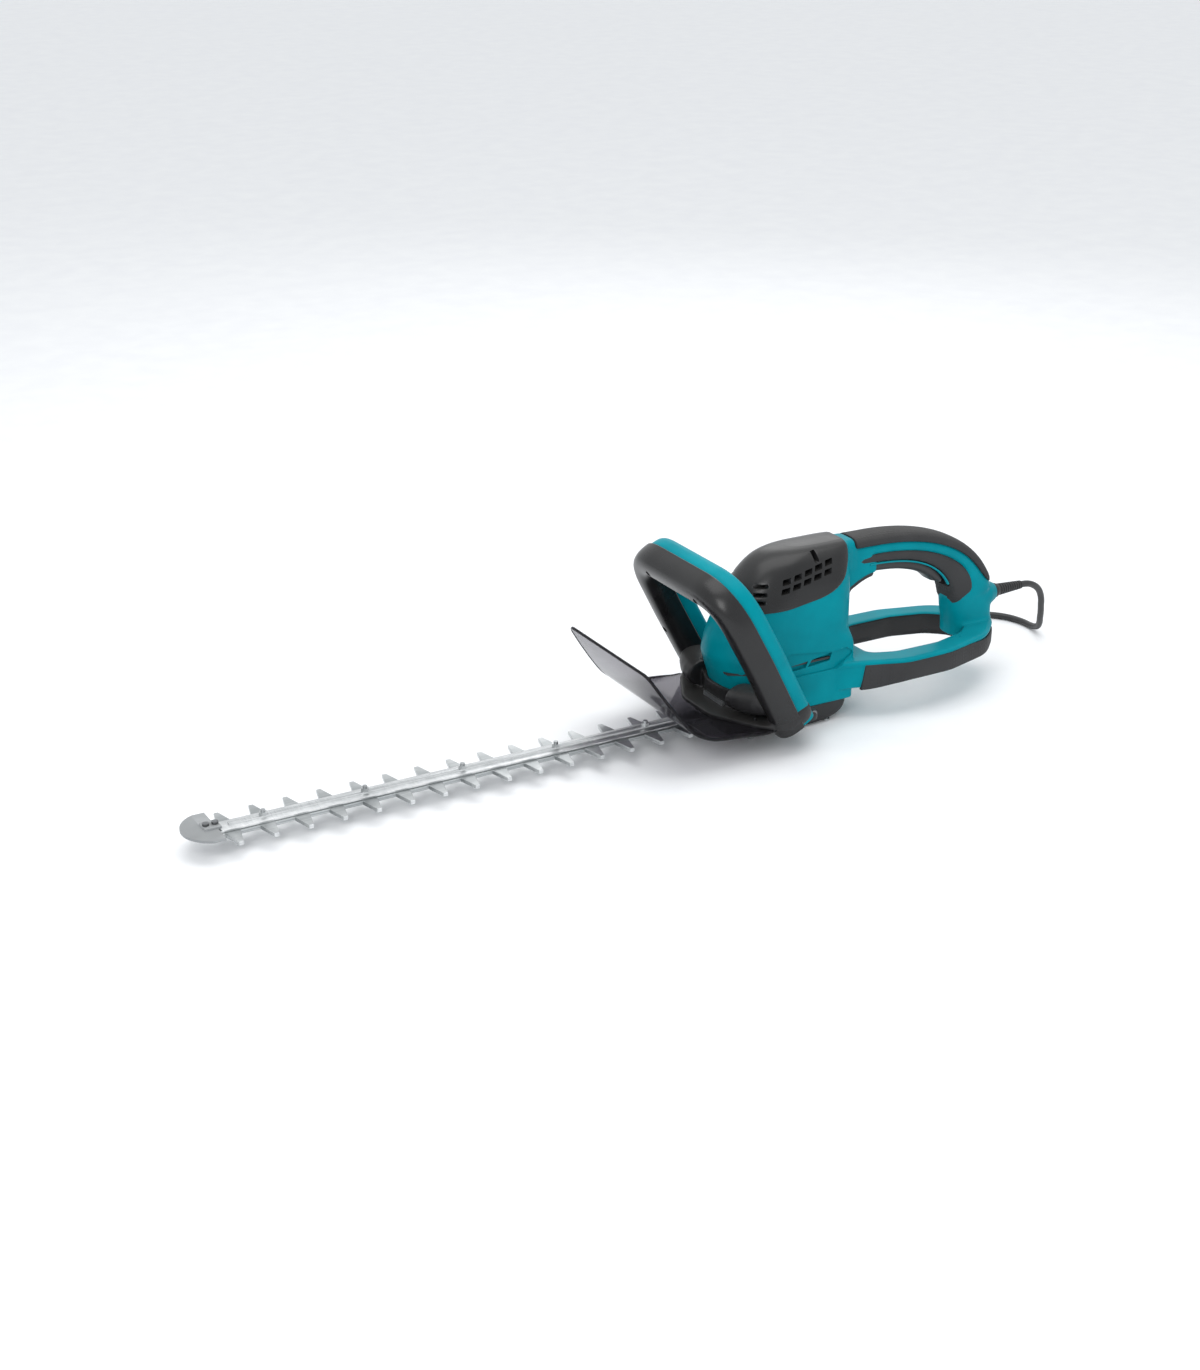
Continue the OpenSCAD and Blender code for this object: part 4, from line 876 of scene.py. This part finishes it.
HALF_PLATE = [(-90, -30, 30), (-62, -80, 24), (-48, -96, 8), (14, -96, 12), (24, -54, 10)]
PLATE = HALF_PLATE + [(x, -y, r) for x, y, r in HALF_PLATE[::-1]]
front_base = prism("front_base", rounded(PLATE, 10), 33, 38.2, "z")
LEG_Y = 89
lumps = []
for side in (-1, 1):
    # A cup holds the leg's foot, with a small screw lug behind it
    cup = []
    for v, grow in ((5, -1.0), (9, 0.8), (15, 1.8), (21, 1.4), (25, 0.2)):
        cup.append([lean(n + 3.5, side * LEG_Y + w, v) for n, w in ovals(32, 23.5 + grow, 16.4 + grow, 3)])
    lumps.append(loft("cup", cup))
    lug = [(-12, 5), (-8, 7), (2, 8.5), (10, 7.5), (14.5, 4.5)]
    lumps.append(loft("lug", [disc(x, side * 88, 40, r * 0.9, r * 0.75, 20) for x, r in lug]))
    # A fairing bends from the leg's foot to the nose
    track = [(-36, 93, 62), (-39, 86, 62), (-44, 76, 60), (-50, 64, 58), (-55, 51, 57), (-56, 38, 56)]
    thick_y = [8, 14, 16, 16, 15.5, 15]
    lumps.append(loft("fairing", [[(x + 1.35 * r * math.cos(a), side * y, z + r * math.sin(a))
                                   for a in around(28)] for (x, y, z), r in zip(track, thick_y)]))
# The collar hugs the nose, highest in front
collar = []
for z in (34, 40, 46, 52, 57, 60):
    grow = 5.0 if z < 56 else 4.2
    collar.append([(min(x, -16), y, z if x < -40 else z - (z - 34) * min((x + 40) / 24, 1) * 0.5)
                   for x, y in body_outline(max(z, 26), -grow)])
lumps.append(loft("collar", collar))
melt(front_base, lumps, 1.5, 8)


def nose_space(gap, lowest):
    # Room for the nose, a little larger than the nose itself
    return loft("nose_space", [[(x, y, z) for x, y in body_outline(max(z, 26), -gap)]
                               for z in (lowest, 26, 40, 60, 80, 95)])


under = prism("under", [(-130, 0), (60, 0), (60, 34.2), (-130, 34.2)], -130, 130)
combine(front_base, [nose_space(0.7, 0), under], "DIFFERENCE")
dress(front_base, "machine", base_grey, "handle_base")

# %% [markdown]
# ## Front handle
# A wide loop leans forward over the guard. Its front half is dark and glossy, its rear half bright and a
# little narrower, and between them runs a step that a finger can feel. The section stays the same along
# the loop, so each half is one sweep along a path with rounded corners.

# %% The loop's path and sections
CORNERS = [(-LEG_Y, 0, 0.01), (-93, 105, 70), (-LEG_Y, 192, 62)]
BEND = 12
LOOP = rounded(CORNERS + [(-y, v, r) for y, v, r in CORNERS[::-1]], 10, BEND)[BEND + 1:-BEND - 1]
LOOP = [Vector((-LEG_Y, 0))] + [Vector(p) for p in LOOP] + [Vector((LEG_Y, 0))]


def dense(path, gap=4.0):
    points = []
    for a, b in zip(path, path[1:]):
        steps = max(int((b - a).length / gap), 1)
        points += [a.lerp(b, k / steps) for k in range(steps)]
    return points + [path[-1]]


PATH = dense(LOOP)


def swept(name, section, foot=46.0):
    rings = []
    for i, p in enumerate(PATH):
        way = (PATH[min(i + 1, len(PATH) - 1)] - PATH[max(i - 1, 0)]).normalized()
        out = Vector((-way.y, way.x))
        ring = []
        for n, w in section:
            v = p.y + w * out.y
            if i in (0, len(PATH) - 1):
                v = (foot - FOOT[1] - n * math.sin(LEAN)) / math.cos(LEAN)
            ring.append(lean(n, p.x + w * out.x, v))
        rings.append(ring)
    return loft(name, rings)


def half_section(n_flat, n_far, half, power, lip):
    # A D shape: flat at the seam, with a small lip, and crowned away from it
    points = [(n_flat, -half + lip), (n_flat + (0.8 if n_far > n_flat else -0.8), -half)]
    for k in range(1, 28):
        a = -math.pi / 2 + math.pi * k / 28
        c, s = math.cos(a), math.sin(a)
        points.append((n_flat + (n_far - n_flat) * (0.06 + 0.94 * c ** (2 / power)),
                       half * math.copysign(abs(s) ** (2 / power), s)))
    return points + [(n_flat + (0.8 if n_far > n_flat else -0.8), half), (n_flat, half - lip)]


# %% The dark front half
loop_front = swept("loop_front", half_section(7.8, -20, 17.2, 2.7, 0.6))
cutters = []
for y, v in ((-50, 189), (50, 189), (-92, 86.4), (92, 86.4)):
    hole = [[lean(n, y + r * math.cos(a), v + r * math.sin(a)) for a in around(24)]
            for n, r in ((-24, 3.9), (-12.1, 3.9), (-12.0, 3.8))]
    cutters.append(loft("screw_hole", hole))
# The switch bar moves in a pocket behind the top of the loop
cutters.append(loft("pocket", [[lean(n, y, v) for n, y in ((-10, -33), (-10, 33), (4, 33), (4, -33))]
                               for v in (160, 187.5)]))
combine(loop_front, cutters, "DIFFERENCE")
dress(loop_front, "machine", handle_grey, "handle_front", angle=36)

# %% The bright rear half
loop_rear = swept("loop_rear", half_section(8.0, 27.5, 14.8, 3.4, 0.5), 62.0)
dress(loop_rear, "machine", shell_teal, "handle_rear", angle=36)

# %% [markdown]
# ## Grips
# Where the hand closes, soft rubber is moulded over the arch: a broad one on top that ends in a point
# where the column begins, and a lower one with a pointed front and a rounded foot. Both are dotted. They
# are sweeps along the arch whose section changes from station to station.

# %% Upper and lower grip
def upper_ring(s):
    edge = float(through(s, [0, 0.05, 0.12, 0.72, 0.85, 0.93, 0.97],
                         [10.6, 10.4, 10.4, 10.6, 10.0, 7, 3.0]))
    half = 19.6 * min(1, 0.35 + edge / 14 + 0.1)
    points = []
    for k in range(25):
        a = math.pi * k / 24
        y, up = oval(a, half, 1, 2.7)
        p = arch_at(s, -0.35 + edge * (1 - up))
        points.append((p.x, y, p.y))
    for y in (-half + 1.0, 0, half - 1.0):
        p = arch_at(s, edge + 0.7)
        points.append((p.x, y, p.y))
    return points


def through_points(points, count):
    # Evenly spaced points on a smooth curve through the given ones
    stops = np.linspace(0, 1, len(points))
    return [Vector((float(through(t, stops, [p[0] for p in points])),
                    float(through(t, stops, [p[1] for p in points])))) for t in np.linspace(0, 1, count)]


def shrunk(ring, amount):
    middle = sum((Vector(p) for p in ring), Vector()) / len(ring)
    return [tuple(middle + (Vector(p) - middle) * amount) for p in ring]


rings = [upper_ring(s) for s in np.linspace(0.0505, 0.965, 70)]
rings = [shrunk(upper_ring(0.048), 0.93)] + rings + [shrunk(upper_ring(0.968), 0.6)]
dress(loft("grip_top", rings), "machine", grip_rubber, "upper_grip", angle=60)


def lower_ring(s):
    near = float(through(s, [0.02, 0.05, 0.2, 0.8, 0.9, 0.96], [29, 24, 21.6, 21.8, 24.5, 29]))
    deep = max(underside(s), near + 1.5)
    half = float(through(s, [0.02, 0.07, 0.2, 0.9, 0.96], [14, 18.4, 19.4, 19.4, 17.5]))
    points = []
    for y, d in ovals(32, half, (deep - near) / 2, 4.2):
        p = arch_at(s, (near + deep) / 2 - d)
        points.append((p.x, y, p.y))
    return points


rings = [lower_ring(s) for s in np.linspace(0.022, 0.955, 60)]
rings = [shrunk(lower_ring(0.018), 0.6)] + rings + [shrunk(lower_ring(0.965), 0.8)]
grip_low = loft("grip_low", rings)
# The trigger moves in a channel along the grip's underside
CHANNEL_HALF = 16.1
channel = []
for t in np.linspace(0.0, 0.88, 26):
    p, up = low_frame(t)
    high, low = p + up * float(9 + 6 * t), p - up * 4
    channel.append([(q.x, y * CHANNEL_HALF, q.y) for q, y in ((low, -1), (low, 1), (high, 1), (high, -1))])
combine(grip_low, [loft("channel", channel)], "DIFFERENCE")
dress(grip_low, "machine", grip_rubber, "lower_grip", angle=50)

# %% A bright line beside the trigger and a dark strip down the opening
line = []
for t in np.linspace(0.1, 0.84, 40):
    p, up = low_frame(t)
    line.append([((p + up * h).x, y, (p + up * h).y) for y, h in
                 ((16.2, 0.6), (16.2, -0.9), (16.6, -1.4), (18.6, -1.4), (19.5, -0.7), (19.5, 0.6))])
near_line = loft("bright_line_near", [[(x, -y, z) for x, y, z in ring] for ring in line])
far_line = loft("bright_line_far", line)
EDGE = [(146, 162), (130, 159.2), (114, 152.6), (104, 146), (99.9, 131), (98.2, 112)]
edge_path = through_points(EDGE, 30)
last = len(edge_path) - 1
strip = []
for i, p in enumerate(edge_path):
    way = (edge_path[min(i + 1, last)] - edge_path[max(i - 1, 0)]).normalized()
    out = Vector((-way.y, way.x))
    width = 18.2 * min(1, 0.3 + i / 5, 0.3 + (last - i) / 5)
    strip.append([((p + out * h).x, y, (p + out * h).y) for y, h in
                  ((-width, -1.5), (width, -1.5), (width + 0.8, 0.8), (width - 0.5, 2.6), (-width + 0.5, 2.6),
                   (-width - 0.8, 0.8))])
dress(loft("opening_strip", strip), "machine", grip_rubber, angle=40)
for bright in (near_line, far_line):
    dress(bright, "machine", shell_teal, angle=50)

# %% The trigger
def trigger_ring(t):
    p, up = low_frame(t)
    ends = min(1, 0.35 + (t - 0.05) * 9, 0.4 + (0.78 - t) * 12)
    points = []
    for y, h in ovals(24, 15.3, 7.4, 3.4):
        w = p + up * float(-5.2 + h * ends)
        points.append((w.x, y, w.y))
    return points


trigger = loft("trigger_lever", [trigger_ring(t) for t in np.linspace(0.05, 0.78, 44)])
dress(trigger, "trigger_lever", trigger_grey, "rear_trigger", angle=60)

# %% [markdown]
# ## Ring covers
# The ring's outside carries a rubber skirt that starts at a slanted cut beside the body, and its inside
# is lined with a smooth dark sleeve. Both follow the ring's own outlines, so they sit in its channels.

# %% Skirt and liner
def skirt_section(x):
    # The skirt's upper edge falls towards the rear of the ring
    foot, fall = ring_foot(x), 6 * max(x - 250, 0) / 72
    return [(1, 0.6, foot), (1, -0.1, foot + 1.4), (1, -0.35, 56), (1, -0.1, 66.4 - fall),
            (1, 0.7, 67.2 - fall), (1, 3.4, 67.0 - fall), (1, 5.6, foot)]


skirt = ring_band("skirt", skirt_section)
slant = prism("slant", [(0, 20), (98.6, 20), (99.4, 36), (106.5, 90), (0, 90)], -120, 120)
combine(skirt, [slant], "DIFFERENCE")
dress(skirt, "machine", grip_rubber, "ring_skirt", angle=45)
liner = ring_band("liner", lambda x: [
    (0, 3.7, 45.4), (0, 0.8, 45.2), (0, -0.2, 46.4), (0, 0.5, 52), (0, 1.1, 60), (0, 0.7, 67), (0, 0.2, 69.4),
    (0, 1.0, 70.3), (0, 3.7, 69.8)])
dress(liner, "machine", handle_grey, "ring_liner", angle=45)

# %% [markdown]
# ## Guard
# The guard is one sheet of smoky clear plastic: flat under the handle, sweeping up at the front to a
# straight top edge with rounded corners. We map a grid on its side profile, give it thickness, trim it
# round the nose, and run a bead along its rim, which is what makes a clear sheet read as solid.

# %% The clear sheet
GUARD_SIDE = [(-18, 31), (-60, 31), (-100, 31.4), (-122, 35), (-140, 43), (-155, 55), (-168, 71),
              (-182, 90.5), (-193.5, 107.5), (-204.4, 124.6)]
reach = [0]
for a, b in zip(GUARD_SIDE, GUARD_SIDE[1:]):
    reach.append(reach[-1] + math.dist(a, b))


def guard_point(s, lift=0.0):
    x = float(through(s, reach, [p[0] for p in GUARD_SIDE]))
    z = float(through(s, reach, [p[1] for p in GUARD_SIDE]))
    return x, z + lift


def guard_half(s):
    total = reach[-1]
    half = float(through(s, [0, 14, 30, 150, 190, total], [80, 90, 95.4, 95.4, 91.5, 86]))
    left = total - s
    if left < 9:
        half -= 9 - math.sqrt(max(81 - (9 - left) ** 2, 0))
    return half


rows, across = 72, 40
levels = [reach[-1] * (1 - (1 - k / (rows - 1)) ** 1.35) for k in range(rows)]
points, faces = [], []
for s in levels:
    x, z = guard_point(s)
    half = guard_half(s)
    for k in range(across + 1):
        u = 2 * k / across - 1
        y = half * u
        # The flat part turns up a little along its sides
        turned = max(abs(y) - 84, 0) / 11.4
        points.append((x, y, z + 1.4 + 9 * turned ** 2 * max(0, min(1, (s - 45) / 40)) * max(0, 1 - s / 150)))
for i in range(rows - 1):
    for k in range(across):
        a = i * (across + 1) + k
        faces.append((a, a + 1, a + across + 2, a + across + 1))
sheet = piece("clear_guard", points, faces)
thick = sheet.modifiers.new("thick", "SOLIDIFY")
thick.thickness, thick.offset = 2.6 * MM, 0
bake(sheet)
combine(sheet, [nose_space(1.0, 10)], "DIFFERENCE")
dress(sheet, "machine", smoke, "guard", angle=40)

# %% The rim bead
RIM_START = 32
row_starts = [i * (across + 1) for i in range(rows) if levels[i] > RIM_START]
rim_path = [points[a] for a in row_starts]
rim_path += [points[row_starts[-1] + k] for k in range(1, across)]
rim_path += [points[a + across] for a in row_starts[::-1]]
bead_curve = bpy.data.curves.new("guard_bead", "CURVE")
bead_curve.dimensions = "3D"
bead_curve.bevel_depth, bead_curve.bevel_resolution = 1.9 * MM, 3
line = bead_curve.splines.new("POLY")
line.points.add(len(rim_path) - 1)
for point, place in zip(line.points, rim_path):
    point.co = [c * MM for c in place] + [1]
bead = bpy.data.objects.new("guard_bead", bead_curve)
scene.collection.objects.link(bead)
bead_mesh = baked_mesh(bead)
bpy.data.objects.remove(bead)
bead = bpy.data.objects.new("guard_bead", bead_mesh)
scene.collection.objects.link(bead)
dress(bead, "machine", smoke, angle=50)

# %% [markdown]
# ## Cutting blades
# Each blade is a stamped strip whose teeth are ground on one side, so that the pair meets like scissors.
# The imported blades have the right outline already. We copy them, clean their flat faces and grind the
# outer edges of the teeth with a bevel. The guide bar and the tip plate get fine broken edges.

# %% Grinding and breaking edges
def ground_copy(node, name, body, material, width, chosen=None, segments=1):
    obj = cad_copy(node, name)

    def grind(bm):
        bmesh.ops.remove_doubles(bm, verts=bm.verts, dist=0.02 * MM)
        bmesh.ops.dissolve_limit(bm, angle_limit=math.radians(1.5), verts=bm.verts, edges=bm.edges)
        edges = [e for e in bm.edges if len(e.link_faces) == 2 and e.calc_face_angle(0) > math.radians(35)
                 and (chosen is None or chosen(e))]
        bmesh.ops.bevel(bm, geom=edges, offset=width * MM, segments=segments, affect="EDGES",
                        clamp_overlap=True, profile=0.5)
    edit(obj, grind)
    dress(obj, body, material, node)


UPPER_FACE, LOWER_FACE, TOOTH_START, LAST_TOOTH = 22.1, 17.5, 12.9, -90


def tooth_edge(level):
    # Picks the edges of the teeth on the face at this height
    def chosen(e):
        a, b = e.verts[0].co / MM, e.verts[1].co / MM
        flat = abs(a.z - level) < 0.05 and abs(b.z - level) < 0.05
        return flat and min(abs(a.y), abs(b.y)) > TOOTH_START and (a.x + b.x) / 2 < LAST_TOOTH
    return chosen


ground_copy("upper_blade", "blade_upper_ground", "upper_shear", blade_steel, 1.5, tooth_edge(UPPER_FACE))
ground_copy("lower_blade", "blade_lower_ground", "lower_shear", blade_steel, 1.5, tooth_edge(LOWER_FACE))
ground_copy("guide_bar", "guide_bar_fine", "machine", bar_steel, 0.5, segments=2)
ground_copy("tip_protector", "tip_plate", "machine", plate_grey, 0.6, segments=2)

# %% [markdown]
# ## Sleeve and plug
# A ribbed rubber sleeve keeps the lead from kinking where it leaves the boss, and the lead ends in a
# moulded plug. Both are turned or squared forms with soft edges, made as lofts along the lead.

# %% The ribbed sleeve
profile = [(300.5, 6.4), (318, 6.4), (330.5, 6.4), (331.4, 8.6), (334, 8.9), (335.4, 8.0)]
RIBS_START, RIBS_END, RIB_STEP = 337.0, 370, 3.6
x = RIBS_START
while x < RIBS_END:
    r = 7.4 - (x - RIBS_START) * 0.065
    profile += [(x, r), (x + 1.5, r), (x + 1.9, r - 0.9), (x + 3.0, r - 0.95), (x + 3.3, r - 0.1)]
    x += RIB_STEP
profile += [(373.2, 5.0), (374, 4.2)]
sleeve = loft("lead_sleeve", [disc(x, 0, LEAD_Z, r, r, 40) for x, r in profile])
dress(sleeve, "machine", cord_rubber, "strain_relief", angle=50)

# %% The plug
PLUG_X, PLUG_Y, PLUG_Z = 386, 141, 8.6
PLUG = [(-34, 13.6, 7.2, 5), (-33.4, 14.6, 8.0, 5), (-26, 15, 8.3, 4.6), (-20, 14.2, 8.2, 4),
        (-15, 12.6, 8.0, 3.4), (-11, 10.4, 7.8, 2.8), (-8, 8.6, 7.5, 2.3), (-5, 7.4, 6.6, 2),
        (-3.4, 7.4, 6.2, 2), (-3.0, 6.2, 5.6, 2), (-2, 6.0, 5.4, 2)]
plug = loft("plug_grip", [[(PLUG_X + x, PLUG_Y + y, PLUG_Z + z) for y, z in ovals(40, half_y, half_z, power)]
                          for x, half_y, half_z, power in PLUG])
dress(plug, "machine", cord_rubber, "plug_body", angle=40)
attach(power_cord, "machine")
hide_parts("cord")

# %% [markdown]
# ## Finishes for the parts that stay
# The drive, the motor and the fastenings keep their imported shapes, since machined parts are plain forms.
# Each gets the finish of its own stock: sheet steel for the stacked cores, enamelled wire for the coils,
# cast alloy for the gear case, plated steel for screws.

# %% Assign the finishes
stock = {
    cast_alloy: ["gear_case", "motor_bracket"],
    screw_steel: ["crank_bearings", "armature_bearings", "blade_nuts", "blade_bolts", "trigger_pin",
                  "base_screws", "housing_screws", "crank_shaft", "armature_shaft", "trigger_spring",
                  "bar_springs", "brush_springs", "plug_pins"],
    screw_black: ["tip_screws", "guard_screws", "handle_screws"],
    sheet_core: ["field_core", "armature_core"],
    copper_wire: ["field_coils", "armature_windings", "commutator"],
    brass: ["brush_holders"],
    carbon: ["brushes"],
    inner_plastic: ["fan_baffle", "fan", "capacitor", "rear_switch", "front_switch", "switch_leads",
                    "cord_clamp"],
    blade_steel: ["crank_gear", "pinion"],
    trigger_grey: ["front_switch_bar"],
}
for material, nodes in stock.items():
    for node in nodes:
        slots = bpy.data.objects[node].data.materials
        slots.clear()
        slots.append(material)
print("nodes finished:", sum(len(n) for n in stock.values()))
